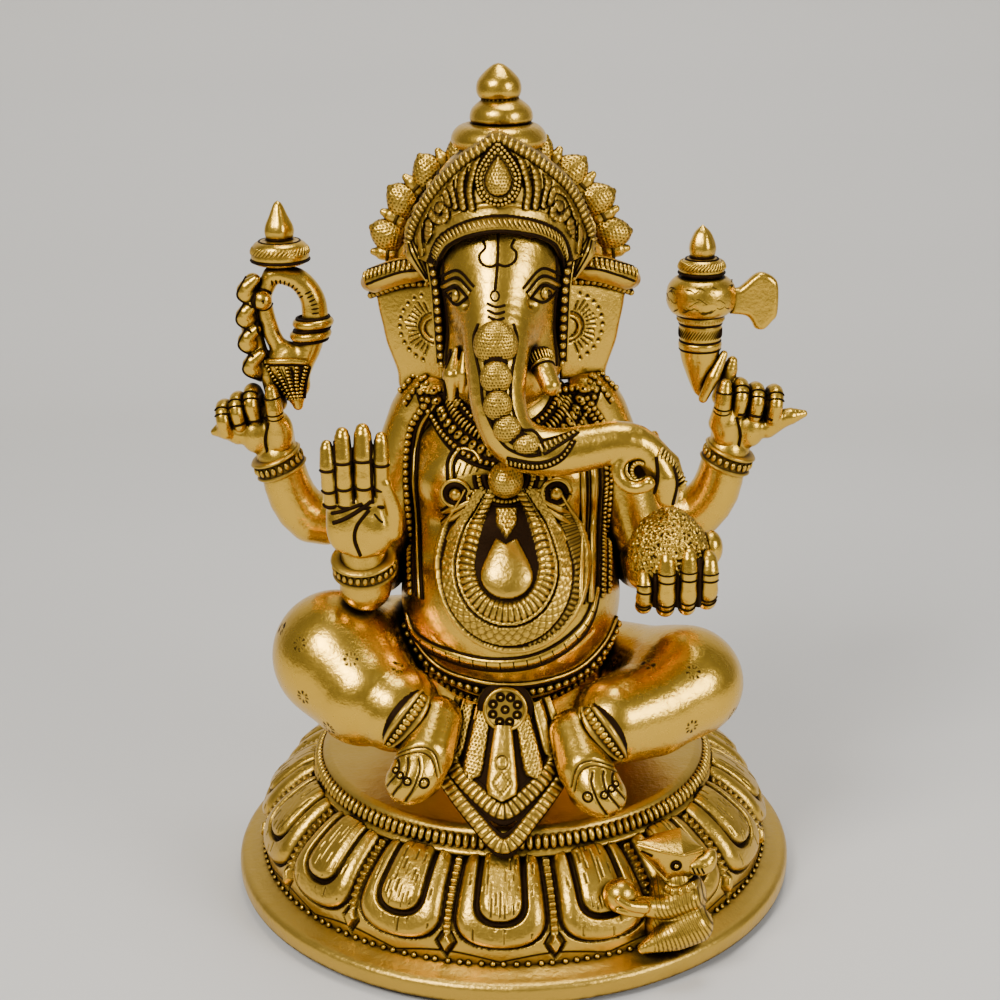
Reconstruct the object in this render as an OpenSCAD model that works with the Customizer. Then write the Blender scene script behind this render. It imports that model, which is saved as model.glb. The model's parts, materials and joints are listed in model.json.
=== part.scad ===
// Seated four-armed Ganesha idol, sand-cast brass, on a round lotus base with the mouse at its foot.
// Millimetres, +Z up, the figure faces -Y, origin at the middle of the flat underside.
// Right and left are the figure's own: its right side is -X.

/* [Base] */
// Outer radius of the plain rim that the idol stands on
rim_r = 88; // [85:1:91]
// Height of the rim's vertical side
rim_h = 6; // [5:0.5:7]
// Radius of the lotus where it meets the rim
lotus_r = 80; // [78:1:81]
// Number of large petals round the lotus
petal_count = 16; // [14:1:18]
// Radius of the seat slab
seat_r = 61; // [59:1:63]
// Height of the top of the seat
seat_top = 40; // [39:0.5:41]
// Casting wall of the base
wall = 4; // [3.5:0.5:5]

/* [Figure] */
// Half width of the belly
belly_r = 33; // [32:0.5:34]
// Half width of the chest
chest_r = 31; // [30:0.5:32]
// Thickness of the torso casting round its core
core_wall = 6; // [5:0.5:9]
// Radius of the knees
knee_r = 18; // [17:0.5:19]
// How far the ornaments stand out of the skin
relief = 2.4; // [2:0.1:3]

/* [Head] */
// Half width of the face
face_r = 17.5; // [17:0.5:18.5]
// Radius of the halo disc behind the crown
halo_r = 31; // [30:0.5:32]
// Thickness of the halo disc
halo_t = 4.5; // [4:0.5:5]
// Radius of the trunk where it leaves the face
trunk_r = 10; // [9.5:0.5:10.5]

/* [Hidden] */
brass = [0.78, 0.60, 0.25];
aged_brass = [0.62, 0.45, 0.18];
$fn = 12;

lotus_bottom = 8;
lotus_top = 31;
seat_bottom = lotus_top;
petal_turn = -2.4;
halo_at = [0, 7.5, 191];
knee_right = [-50.5, -28, 81];
knee_left = [50.5, -28, 72];
cuff_right = [-29.5, -46, 70.5];
cuff_left = [25.5, -47, 66];
rear_y = 9;
rear_lean = -1.8;
little_reach = 90;
noose_at = [-66.2, rear_y, 174];
axe_x = 57.7;
mouse_at = [45, -66, 9];

// ---- helpers ----

// One sculpted skin: its pieces become a single closed surface
module cast() resize([0, 0, 0]) children();

// A ball or an oval ball: r is a radius or three of them
module ball(at, r) translate(at) scale(is_list(r) ? r : [r, r, r]) sphere(1);

// A round limb through the points of a path, with a radius at each
module limb(path, radii)
    for (i = [0 : len(path) - 2])
        hull() {
            ball(path[i], radii[i]);
            ball(path[i + 1], radii[i + 1]);
        }

// A rounded slab between two points, as wide and as thick as the balls at its ends
module slab(points, r) hull() for (p = points) ball(p, r);

// A pattern drawn in X and Z, pushed through the figure from the front back to a depth
module front_cutter(front = -80, back = -2)
    translate([0, back, 0]) rotate([90, 0, 0]) linear_extrude(back - front) children();

// Points of an arc in X and Z
function arc_at(c, rx, rz, a) = [c[0] + rx * cos(a), c[1] + rz * sin(a)];

// ---- base ----

module base_rim() color(brass)
    rotate_extrude($fn = 96) polygon([
        [rim_r - 2 * wall, 0], [rim_r - 0.8, 0], [rim_r, 0.8], [rim_r, rim_h - 1.6], [rim_r - 0.5, rim_h - 0.5],
        [rim_r - 1.6, rim_h + 0.4], [lotus_r - 1, lotus_bottom], [lotus_r - wall, lotus_bottom],
        [rim_r - 2 * wall - 4, 4]
    ]);

module lotus_profile(t)
    polygon([
        [lotus_r - t, lotus_bottom], [lotus_r - t - 0.2, 13], [lotus_r - t - 1.6, 18], [lotus_r - t - 5, 23],
        [lotus_r - t - 10, 27.5], [lotus_r - t - 16, lotus_top],
        [lotus_r - wall - 20, lotus_top], [lotus_r - wall - 14, 24], [lotus_r - wall - 7, 19],
        [lotus_r - wall - 3, 13], [lotus_r - wall - 2.5, lotus_bottom]
    ]);

module lotus_base() color(brass) cast() difference() {
    union() {
        rotate_extrude($fn = 40) lotus_profile(2);
        for (i = [0 : petal_count - 1])
            rotate([0, 0, i * 360 / petal_count + petal_turn])
                intersection() {
                    translate([0, -lotus_r + 14, 9.5])
                        rotate([34, 0, 0]) scale([12.6, 17, 24]) sphere(1, $fn = 10);
                    translate([-20, -lotus_r - 1, lotus_bottom]) cube([40, 30, lotus_top - lotus_bottom]);
                }
    }
    translate([0, 0, -1]) cylinder(r = lotus_r - wall - 3, h = 14, $fn = 40);
    translate([0, 0, 12.9]) cylinder(r1 = lotus_r - wall - 3, r2 = lotus_r - wall - 20, h = 18.2, $fn = 40);
}

module seat_slab() color(brass)
    rotate_extrude($fn = 96) polygon([
        [seat_r - 6, seat_bottom], [seat_r - 1, seat_bottom], [seat_r - 1, seat_top - 1],
        [seat_r - 2, seat_top - 0.3], [seat_r - 4, seat_top], [22, seat_top], [22, seat_top - wall],
        [seat_r - 9, seat_top - wall]
    ]);

module seat_rope_border() color(aged_brass)
    rotate_extrude($fn = 96) polygon([
        [seat_r - 1, seat_bottom + 0.5], [seat_r + 1, seat_bottom + 1.2], [seat_r + 2, seat_bottom + 3],
        [seat_r + 2, seat_top - 4], [seat_r + 1, seat_top - 2.2], [seat_r - 1, seat_top - 1.5]
    ]);

// ---- torso and what lies on it ----

module torso_body(grow = 0) {
    ball([0, -12, 97], [belly_r + grow, 36 + grow, 33 + grow]);
    ball([0, -3, 132], [chest_r + grow, 25 + grow, 28 + grow]);
    ball([0, 4, 62], [41 + grow, 33 + grow, 25 + grow]);
}

module below_seat() translate([-150, -150, -1]) cube([300, 300, seat_top + 1]);

module torso() color(brass) cast() difference() {
    union() {
        torso_body($fn = 22);
        ball([0, -5, 156], [17, 16, 14], $fn = 24);
    }
    below_seat();
    hull() {
        ball([0, -10, 97], [belly_r - core_wall, 36 - core_wall, 32 - core_wall]);
        translate([0, 0, seat_top - 1]) cylinder(r = 20, h = 2);
    }
    slab([[0, -4, 118], [0, -4, 134]], [18, 14, 12]);
}

// A strip of the given width along an arc, drawn in X and Z
module arc_strip(c, rx, rz, a0, a1, w, steps = 16) {
    outer = [for (i = [0 : steps]) arc_at(c, rx + w / 2, rz + w / 2, a0 + (a1 - a0) * i / steps)];
    inner = [for (i = [steps : -1 : 0]) arc_at(c, rx - w / 2, rz - w / 2, a0 + (a1 - a0) * i / steps)];
    polygon(concat(outer, inner));
}

// The drop outline of the pendant: a round bowl narrowing upwards to a straight top
module drop_outline(r, top_w, height)
    hull() {
        circle(r, $fn = 36);
        translate([-top_w / 2, height - 1]) square([top_w, 1]);
    }

module on_torso(grow) difference() {
    intersection() {
        torso_body(grow, $fn = 22);
        children();
    }
    torso_body(0, $fn = 22);
}

module waist_belt() color(aged_brass) cast() difference() {
    on_torso(relief + 0.6) front_cutter() arc_strip([0, 108], 48, 37, 214, 326, 6);
    leg_body(knee_right, cuff_right);
    leg_body(knee_left, cuff_left);
}

module belt_buckle_body() translate([-3, -34, 69.5]) rotate([72, 0, 0]) cylinder(r = 7, h = 13, $fn = 32);

module belt_buckle() color(aged_brass) cast() difference() {
    belt_buckle_body();
    torso_body($fn = 22);
    waist_belt();
}

module waist_apron() color(aged_brass) cast() difference() {
    hull() {
        ball([-3, -39, 61], [8, 5, 5]);
        ball([-12, -53, 49], [7, 5, 5]);
        ball([4, -53, 49], [7, 5, 5]);
        ball([-4, -64, 44], [9, 4, 4]);
        ball([-4, -67.5, 39.5], [5, 3, 5]);
    }
    belt_buckle_body();
    waist_belt();
    torso_body($fn = 22);
    translate([0, 0, -1]) cylinder(r = seat_r + 2, h = seat_top + 1, $fn = 64);
    foot(cuff_right, -1);
    foot(cuff_left, 1);
}

module belly_band() color(brass) cast() difference() {
    on_torso(relief) front_cutter() arc_strip([2, 112], 30, 27, 192, 352, 4);
    breast_pendant();
}

module breast_pendant() color(aged_brass) cast()
    on_torso(relief) front_cutter() translate([-1, 109]) drop_outline(19, 16, 22);

module chest_boss_ball() ball([-1, -31, 137], [6.5, 8, 6.5]);

module chest_boss() color(aged_brass) cast() difference() {
    chest_boss_ball();
    torso_body($fn = 22);
    breast_pendant();
    trunk_body();
}

module collar_band() on_torso(relief + 0.6) front_cutter(back = 6) difference() {
    translate([0, 158]) scale([1.05, 1]) circle(27, $fn = 36);
    translate([0, 166]) circle(17, $fn = 24);
}

module collar_necklace() color(aged_brass) cast() difference() {
    collar_band();
    ball([0, -5, 156], [17, 16, 14]);
    head_body();
    chest_boss_ball();
    breast_pendant();
}

module sash_body(side) limb(
    [[side * 18, -18, 150], [side * 25, -20, 139], [side * 25.5, -24.5, 120], [side * 28.5, -32, 104]],
    [4, 4, 4, 4]);

module shoulder_sash(side) color(aged_brass) cast() difference() {
    sash_body(side);
    torso_body($fn = 22);
    front_arm(side);
}

// ---- legs ----

module leg_body(knee, cuff) {
    limb([[sign(knee[0]) * 30, 2, 66], knee + [sign(knee[0]) * 2, 3, 0], (knee + cuff) / 2 + [0, 1, -2],
          cuff + [sign(knee[0]) * 4, 3, 0]],
        [20, knee_r, 17, 13.5]);
}

module leg(knee, cuff) color(brass) cast() difference() {
    leg_body(knee, cuff);
    torso_body();
    below_seat();
    cuff_disc(knee, cuff, 0.1);
    foot_body(cuff, sign(knee[0]));
}

// The hem of the trouser leg: a flat oval band across the end of the leg
module cuff_disc(knee, cuff, grow = 0)
    translate(cuff) rotate([-32, 0, sign(knee[0]) * -52])
        rotate([0, sign(knee[0]) * 90, 0]) scale([15, 12.5, 1])
            cylinder(r = 1, h = 4 + grow, center = true, $fn = 32);

module leg_cuff(knee, cuff) color(aged_brass) cast() difference() {
    cuff_disc(knee, cuff);
    foot_body(cuff, sign(knee[0]));
    torso_body();
    below_seat();
}

module foot_body(cuff, side) {
    limb([cuff + [side * -8.5, 0, -2], cuff + [side * -5.5, -9, -8], cuff + [side * -0.5, -16, -13.5]],
        [7.8, 7.8, 6.3]);
    for (i = [0 : 4])
        limb([cuff + [side * (-5 + i * 2.4), -14, -9 - i * 1.6], cuff + [side * (-5.5 + i * 2.8), -19.5, -12 - i * 1.6]],
            [3, 3 - i * 0.3], $fn = 8);
}

module foot(cuff, side) color(brass) cast() difference() {
    foot_body(cuff, side);
    torso_body();
    below_seat();
}

// ---- head ----

module head_body(grow = 0) {
    hull() {
        ball([0, -12, 190], [face_r + grow, 24 + grow, 20 + grow]);
        ball([0, -15, 168], [face_r + grow, 20 + grow, 13 + grow]);
    }
    ball([0, 0, 184], [21 + grow, 16 + grow, 24 + grow]);
}

module head() color(brass) cast() difference() {
    head_body($fn = 22);
    torso_body();
    ball([0, -5, 156], [17, 16, 14]);
}

trunk_path = [
    [-0.5, -28, 188], [-1, -38, 176], [-2, -43, 166], [-0.5, -46, 158], [5, -48, 152], [14, -49, 150.5],
    [24, -49, 152], [33, -49, 154], [39, -49, 152], [42, -49, 146], [42.5, -48, 138], [41.5, -46, 133]
];
trunk_radii = [trunk_r + 1, trunk_r, 9, 8.2, 7.6, 7, 6.6, 6.2, 5.8, 5, 4, 3];

module trunk_body() limb(trunk_path, trunk_radii, $fn = 12);

module trunk() color(brass) cast() difference() {
    trunk_body();
    head_body();
    held_modak_body();
}

module boss_at(p, r) ball(p, [r, r * 0.75, r]);

module trunk_bosses() color(aged_brass) cast() difference() {
    union() {
        boss_at([-2, -47, 182], 6.2);
        boss_at([-2.2, -50, 172.5], 4.8);
        boss_at([-1.2, -52, 164.5], 4.2);
        boss_at([1.5, -53, 157.5], 3.8);
        boss_at([7, -54.5, 153.5], 3.2);
    }
    trunk_body();
    head_body();
}

module right_tusk() color(aged_brass) cast() difference() {
    limb([[-13, -28, 172], [-14, -34, 163]], [4, 2.6], $fn = 10);
    head_body();
    trunk_body();
}

module left_tusk() color(brass) cast() difference() {
    limb([[11, -28, 176], [14, -38, 168]], [4.6, 4], $fn = 10);
    head_body();
    trunk_body();
}

module ear_body(side) hull() {
    ball([side * 20, -4, 183], [3, 3, 3]);
    ball([side * 36, 4, 184], [2.5, 2.5, 3]);
    ball([side * 36, 4, 173], [2.5, 2.2, 3]);
    ball([side * 30.5, 3, 160], [2.5, 2.2, 3]);
    ball([side * 19, -2, 158], [3, 3, 3]);
}

module ear(side) color(brass) cast() difference() {
    ear_body(side);
    head_body();
    torso_body(relief + 0.6);
    ear_roll_body(side);
    tiara_body();
}

module ear_roll_body(side) hull() {
    ball([side * 22, -6, 190.5], [4, 5, 3.6]);
    ball([side * 37, 2, 187], [4, 5, 3.6]);
}

module ear_roll(side) color(aged_brass) cast() difference() {
    ear_roll_body(side);
    head_body();
    tiara_body();
}

// ---- crown ----

module crown_dome_body()
    translate([0, -2, 0]) rotate_extrude($fn = 36) polygon([
        [0, 200], [25, 200], [25, 206], [23, 213], [18, 220], [13, 224],
        [14, 226], [14.5, 228.5], [13, 231], [9.5, 232.5], [0, 232.5]
    ]);

module crown_dome() color(brass) cast() difference() {
    crown_dome_body();
    head_body();
    tiara_body();
}

module brow_band_body()
    limb([for (a = [-12 : 17 : 192])
            [(face_r + 2) * cos(a), -24 - 10 * pow(max(sin(a), 0), 2), 188 + 21.5 * sin(a)]],
        [for (a = [-12 : 17 : 192]) 2.8], $fn = 8);

module crown_brow_band() color(aged_brass) cast() difference() {
    brow_band_body();
    head_body();
}

// The tiara: a raised front plate that leans back, highest over the brow
module tiara_body() hull() {
    for (side = [-1, 1]) {
        ball([side * 23, -12, 190], [3.5, 5, 4]);
        ball([side * 23.5, -14, 202], [3, 5, 4]);
        ball([side * 19, -19, 214], [3, 5, 4]);
        ball([side * 10, -22, 223], [3, 4, 4]);
        ball([side * 8, -31, 210], [4, 4, 4]);
    }
    ball([0, -22, 228], [4, 3, 3]);
}

module crown_tiara() color(aged_brass) cast() difference() {
    tiara_body();
    head_body(0.6);
    brow_band_body();
    crown_jewel();
}

module crown_jewel() color(brass) cast() hull() {
    ball([-0.5, -33, 215.5], [5, 4, 5]);
    ball([-0.5, -27, 225], [1.2, 2, 1.5]);
}

module crown_finial() color(brass)
    translate([0, -2, 0]) rotate_extrude($fn = 48) polygon([
        [0, 232.5], [6.5, 232.5], [8.6, 234.5], [8.8, 236.5], [7, 239], [4.2, 240.6],
        [5.6, 242.4], [5.9, 244.2], [4.8, 246.6], [2.2, 249.2], [0, 250]
    ]);

module halo_disc_body()
    translate(halo_at) rotate([90, 0, 0]) cylinder(r = halo_r, h = halo_t, center = true, $fn = 64);

module halo_disc() color(brass) cast() difference() {
    halo_disc_body();
    head_body();
    crown_dome_body();
    tiara_body();
    ear_roll_body(-1);
    ear_roll_body(1);
    ear_body(-1);
    ear_body(1);
}

// Large and small petals take turns round the upper part of the disc
module halo_petals() color(aged_brass) cast() difference() {
    for (i = [0 : 18]) {
        large = i % 2 == 1;
        a = -18 + i * 12;
        translate(halo_at) rotate([0, -a, 0])
            ball([halo_r + (large ? 2.5 : 4), 0, 0], large ? [6, 2.6, 5.2] : [4, 2.2, 2.6], $fn = 8);
    }
    halo_disc_body();
    ear_roll_body(-1);
    ear_roll_body(1);
    ear_body(-1);
    ear_body(1);
    crown_dome_body();
}

// ---- arms and what they hold ----

module front_arm(side)
    limb([[side * 29, 0, 146], [side * 37, -4, 120], [side * 40, -8, 102], [side * 41, -24, 106]],
        [10.5, 9.5, 9, 7.5]);

module right_front_arm() color(brass) cast() difference() {
    front_arm(-1);
    torso_body(relief + 0.6);
    leg_body(knee_right, cuff_right);
    right_bangle_body();
    right_hand_body();
}

module left_front_arm() color(brass) cast() difference() {
    front_arm(1);
    torso_body(relief + 0.6);
    leg_body(knee_left, cuff_left);
    left_hand_body();
}

module right_bangle_body()
    translate([-41.5, -31, 111]) rotate([22, 0, 0]) scale([10.5, 8, 1]) cylinder(r = 1, h = 4, center = true);

module right_front_bangle() color(aged_brass) cast() difference() {
    right_bangle_body();
    right_hand_body();
}

module right_hand_body() {
    hull() {
        ball([-42, -34, 119], [8.5, 5.5, 7]);
        ball([-43, -36.5, 132], [9, 3.6, 5]);
    }
    for (i = [0 : 3])
        limb([[-49 + i * 4.3, -37, 131], [-49.5 + i * 4.4, -38.5, [147, 152, 151.5, 147][i]]], [2.6, 2.2], $fn = 8);
    limb([[-37, -37, 120], [-34, -39, 130], [-34.5, -38, 138]], [4, 3, 2.2], $fn = 8);
}

module right_front_hand() color(brass) cast() difference() {
    right_hand_body();
    leg_body(knee_right, cuff_right);
}

module held_modak_body() ball([46, -38, 118], [11.5, 11, 11.5]);

module held_modak() color(aged_brass) cast() difference() {
    held_modak_body();
    left_hand_body();
}

module left_hand_body() {
    ball([47, -34, 106], [12.5, 13, 6]);
    for (i = [0 : 3])
        limb([[38.5 + i * 6.2, -44, 105.5], [38.5 + i * 6.2, -48.5, 108], [38.5 + i * 6.2, -48.5, [114, 117, 117, 116][i]]],
            [2.8, 2.9, 2.5], $fn = 8);
}

module left_front_hand() color(brass) cast() left_hand_body();

module rear_arm(side)
    limb([[side * 27, 18, 136], [side * 44, 16, 115], [side * 58 + rear_lean, 11.5, 110],
          [side * 66.5 + rear_lean, rear_y, 120], [side * 68.5 + rear_lean, rear_y, 128]],
        [9, 9, 8.4, 7.4, 7]);

module bracelet_body(side)
    translate([side * 69 + rear_lean, rear_y, 130.5]) rotate([0, side * 12, 0]) cylinder(r = 8, h = 6.5, center = true);

module rear_arm_part(side) color(brass) cast() difference() {
    rear_arm(side);
    torso_body(relief + 0.6);
    front_arm(side);
    bracelet_body(side);
}

module rear_bracelet(side) color(aged_brass) bracelet_body(side);

// A fist with its fingers curled outwards, the forefinger raised and the little finger pointing out
module rear_hand_body(side) translate([rear_lean, 0, 0]) let ($fn = 10) {
    hull() {
        ball([side * 69, rear_y, 134.5], [6, 6, 3]);
        ball([side * 69, rear_y - 1, 143], [6, 5.5, 5]);
        ball([side * 77, rear_y - 1, 141], [5, 5, 5]);
    }
    for (i = [0 : 3])
        limb([[side * (70.5 + i * 5), rear_y - 3, 147.5 - i * 1.4], [side * (71 + i * 5), rear_y - 5.5, 150.5 - i * 2],
              [side * (71 + i * 5), rear_y - 6.5, 145 - i * 1.6]],
            [2.6, 2.5, 2.3], $fn = 8);
    limb([[side * 66, rear_y - 5, 138], [side * 65, rear_y - 6.5, 145], [side * 66, rear_y - 6, 151]],
        [3.4, 2.8, 2.4], $fn = 8);
    limb([[side * 72, rear_y - 1, 149], [side * 70.5, rear_y - 2, 157]], [2.6, 2.2], $fn = 8);
    limb([[side * 80, rear_y, 143], [side * little_reach - rear_lean, rear_y + 1, 141]], [3, 2], $fn = 8);
}

module right_rear_hand() color(brass) cast() difference() {
    rear_hand_body(-1);
    bracelet_body(-1);
    noose_body();
}

module left_rear_hand() color(brass) cast() difference() {
    rear_hand_body(1);
    bracelet_body(1);
    axe_shaft_body();
}

module noose_body() {
    translate([noose_at[0], rear_y, 0]) rotate_extrude() polygon([[0, 147], [2, 147.5], [7.5, 158], [7, 161], [0, 162]]);
    limb([for (a = [0 : 30 : 360]) noose_at + [9 * cos(a), 0, 13 * sin(a)]],
        [for (a = [0 : 30 : 360]) 4.4], $fn = 14);
}

module noose() color(aged_brass) cast() noose_body();

module noose_finial() color(brass) cast() difference() {
    translate([noose_at[0], rear_y, 0]) rotate_extrude($fn = 32) polygon([
        [0, 188], [7.6, 188], [8.8, 190], [8.8, 193.4], [7, 195.6], [3.2, 196.6],
        [4.4, 199], [4.2, 202], [1.8, 206.6], [0, 208]
    ]);
    noose_body();
}

module axe_shaft_body()
    translate([axe_x, rear_y, 0]) rotate_extrude($fn = 36) polygon([
        [0, 147], [1.8, 147.5], [4.6, 157], [6, 163], [5.8, 166.5], [6.5, 168], [6.6, 171.5], [6.2, 173],
        [6.6, 174], [6.6, 176], [8.6, 177], [10.2, 180], [10.2, 183], [8.6, 186], [5.6, 187.5], [0, 187.5]
    ]);

module axe_shaft() color(aged_brass) axe_shaft_body();

module axe_blade_body() hull() {
    translate([axe_x + 5, rear_y - 2, 176.5]) cube([3, 4, 6]);
    translate([axe_x + 17, rear_y - 0.8, 169.9]) cube([2, 1.6, 17.6]);
    translate([axe_x + 22.4, rear_y - 0.5, 173]) cube([0.6, 1, 11.5]);
}

module axe_blade() color(brass) cast() difference() {
    axe_blade_body();
    axe_shaft_body();
}

module axe_finial() color(brass)
    translate([axe_x, rear_y, 0]) rotate_extrude($fn = 36) polygon([
        [0, 187.5], [5.6, 187.5], [6.7, 189], [6.7, 191.4], [5.2, 193.2], [2.6, 194.2],
        [4, 196.6], [3.9, 199], [1.6, 202.8], [0, 203.8]
    ]);

// ---- mouse ----

module mouse_body_shape() {
    limb([[0, 0, 6], [1, 1, 13], [0, 0, 20]], [9.5, 9, 6]);
    limb([[-1, -4, 17], [-10, -6, 17]], [3.6, 3], $fn = 14);
    limb([[2, -5, 6], [-8, -7, 4]], [5.5, 4], $fn = 10);
}

module mouse_head_shape() hull() {
    ball([3, 0, 25.5], [5, 5.5, 4.5]);
    ball([-8.5, -2, 30], [3, 2.5, 2]);
    ball([8, 1, 28.5], [2.5, 3.5, 2]);
}

module mouse_body() color(brass) cast() difference() {
    translate(mouse_at) mouse_body_shape();
    rotate_extrude($fn = 64) polygon([
        [0, -1], [rim_r + 2, -1], [rim_r, rim_h - 1.6], [rim_r - 0.5, rim_h - 0.5], [rim_r - 1.6, rim_h + 0.4],
        [lotus_r, lotus_bottom], [lotus_r - 0.2, 13], [lotus_r - 1.6, 18], [lotus_r - 5, 23],
        [lotus_r - 10, 27.5], [lotus_r - 16, lotus_top], [0, lotus_top]
    ]);
    translate(mouse_at) mouse_head_shape();
    translate(mouse_at) ball([-15, -7, 18], 5.2);
}

module mouse_head() color(brass) cast() translate(mouse_at) mouse_head_shape();

module mouse_modak() color(aged_brass) translate(mouse_at) translate([-15, -7, 18]) sphere(5.2);

// ---- which node is drawn ----

base_rim();
lotus_base();
seat_slab();
seat_rope_border();
torso();
waist_belt();
belt_buckle();
waist_apron();
belly_band();
breast_pendant();
chest_boss();
collar_necklace();
shoulder_sash(-1);  // right_shoulder_sash
shoulder_sash(1);  // left_shoulder_sash
leg(knee_right, cuff_right);  // right_leg
leg(knee_left, cuff_left);  // left_leg
leg_cuff(knee_right, cuff_right);  // right_leg_cuff
leg_cuff(knee_left, cuff_left);  // left_leg_cuff
foot(cuff_right, -1);  // right_foot
foot(cuff_left, 1);  // left_foot
head();
trunk();
trunk_bosses();
right_tusk();
left_tusk();
ear(-1);  // right_ear
ear(1);  // left_ear
ear_roll(-1);  // right_ear_roll
ear_roll(1);  // left_ear_roll
crown_dome();
crown_brow_band();
crown_tiara();
crown_jewel();
crown_finial();
halo_disc();
halo_petals();
right_front_arm();
right_front_hand();
right_front_bangle();
left_front_arm();
left_front_hand();
held_modak();
rear_arm_part(-1);  // right_rear_arm
right_rear_hand();
rear_bracelet(-1);  // right_rear_bracelet
noose();
noose_finial();
rear_arm_part(1);  // left_rear_arm
left_rear_hand();
rear_bracelet(1);  // left_rear_bracelet
axe_shaft();
axe_blade();
axe_finial();
mouse_body();
mouse_head();
mouse_modak();
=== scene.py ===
import json
import math

import bpy
import numpy as np
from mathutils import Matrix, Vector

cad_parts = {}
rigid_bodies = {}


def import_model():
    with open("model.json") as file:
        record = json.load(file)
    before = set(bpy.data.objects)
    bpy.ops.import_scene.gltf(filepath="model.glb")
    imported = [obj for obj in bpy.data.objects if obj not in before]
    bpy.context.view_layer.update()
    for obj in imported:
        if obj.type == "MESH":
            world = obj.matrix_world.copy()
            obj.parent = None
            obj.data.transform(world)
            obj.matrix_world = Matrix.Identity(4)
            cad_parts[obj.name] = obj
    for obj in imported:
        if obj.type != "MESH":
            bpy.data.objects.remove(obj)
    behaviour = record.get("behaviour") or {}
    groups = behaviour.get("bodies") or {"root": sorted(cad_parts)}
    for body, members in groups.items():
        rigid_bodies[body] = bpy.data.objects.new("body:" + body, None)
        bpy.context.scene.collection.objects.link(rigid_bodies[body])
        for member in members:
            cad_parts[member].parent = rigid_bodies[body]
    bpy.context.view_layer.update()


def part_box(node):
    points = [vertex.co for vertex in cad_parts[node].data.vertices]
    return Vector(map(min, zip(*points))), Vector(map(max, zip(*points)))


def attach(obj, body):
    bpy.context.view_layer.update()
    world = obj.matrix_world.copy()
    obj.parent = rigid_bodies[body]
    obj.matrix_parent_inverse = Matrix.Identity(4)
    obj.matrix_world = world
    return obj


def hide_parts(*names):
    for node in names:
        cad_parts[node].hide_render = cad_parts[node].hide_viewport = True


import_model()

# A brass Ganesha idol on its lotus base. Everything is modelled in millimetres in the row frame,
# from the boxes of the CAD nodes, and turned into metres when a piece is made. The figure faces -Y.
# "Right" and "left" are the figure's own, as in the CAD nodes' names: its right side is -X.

import openvdb
from mathutils import Matrix, Vector, noise
from mathutils.bvhtree import BVHTree

MM = 0.001
FRONT = np.array([0.0, -1.0, 0.0])
UP = np.array([0.0, 0.0, 1.0])
TURN = 2 * math.pi
# Lines that look for a skin from the front start at this Y and reach this far.
RAY_START = -200
RAY_LENGTH = 260
# The distance that a clay's field holds where there is nothing near.
OUTSIDE = 50.0
# How far the head and the noose stand to the figure's right of their CAD nodes, in metres.
HEAD_LEAN_M = -0.0018
NOOSE_SHIFT_M = -0.0007


# ---- places, from the frame ----

def box(node):
    """Lowest and highest corner of a CAD node, in millimetres."""
    low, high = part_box(node)
    return np.array(low) / MM, np.array(high) / MM


def middle(node):
    """The middle of a CAD node's box."""
    low, high = box(node)
    return (low + high) / 2


def size(node):
    """The three sides of a CAD node's box."""
    low, high = box(node)
    return high - low


def side_name(side):
    """The figure's own side: -1 is its right and 1 is its left."""
    return "right" if side < 0 else "left"


def point(*values):
    """A place or a direction."""
    return np.array(values, float)


# ---- small maths ----

def smooth(low, high, value):
    """0 below low, 1 above high, and a smooth step between; high may be the smaller."""
    t = np.clip((value - low) / (high - low), 0, 1)
    return t * t * (3 - 2 * t)


def unit(v):
    """The same direction with length 1."""
    v = np.asarray(v, float)
    return v / max(np.linalg.norm(v), 1e-9)


def unit_rows(v):
    """Each row made length 1."""
    return v / np.linalg.norm(v, axis=1)[:, None]


def across_path(path, normals):
    """The unit directions across a path that lies on a skin."""
    return unit_rows(np.cross(np.gradient(path, axis=0), normals))


def spline(points, count):
    """Points evenly spaced along a smooth curve through the given ones."""
    p = np.asarray(points, float)
    ends = np.vstack([2 * p[0] - p[1], p, 2 * p[-1] - p[-2]])
    fine = []
    for i in range(len(p) - 1):
        a, b, c, d = ends[i:i + 4]
        t = np.linspace(0, 1, 24, endpoint=False)[:, None]
        fine.append(0.5 * (2 * b + (c - a) * t + (2 * a - 5 * b + 4 * c - d) * t**2
                           + (3 * b - a - 3 * c + d) * t**3))
    fine = np.vstack(fine + [p[-1:]])
    return even(fine, count)


def even(path, count):
    """The same path with evenly spaced points."""
    path = np.asarray(path, float)
    steps = np.r_[0, np.cumsum(np.linalg.norm(np.diff(path, axis=0), axis=1))]
    at = np.linspace(0, steps[-1], count)
    return np.stack([np.interp(at, steps, path[:, k]) for k in range(path.shape[1])], axis=1)


def length(path):
    """How long a path is."""
    return float(np.linalg.norm(np.diff(np.asarray(path, float), axis=0), axis=1).sum())


def circle(count):
    """Angles of a whole turn; the last is the first again."""
    return np.linspace(0, TURN, count)


def rays(count):
    """Level unit directions, evenly turned."""
    turns = [TURN * i / count for i in range(count)]
    return [point(math.cos(turn), math.sin(turn), 0) for turn in turns]


def arc(centre, rx, ry, start, end, count):
    """Points of an arc in a plane, with its angles in degrees."""
    a = np.radians(np.linspace(start, end, count))
    return np.stack([centre[0] + rx * np.cos(a), centre[1] + ry * np.sin(a)], axis=1)


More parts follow.
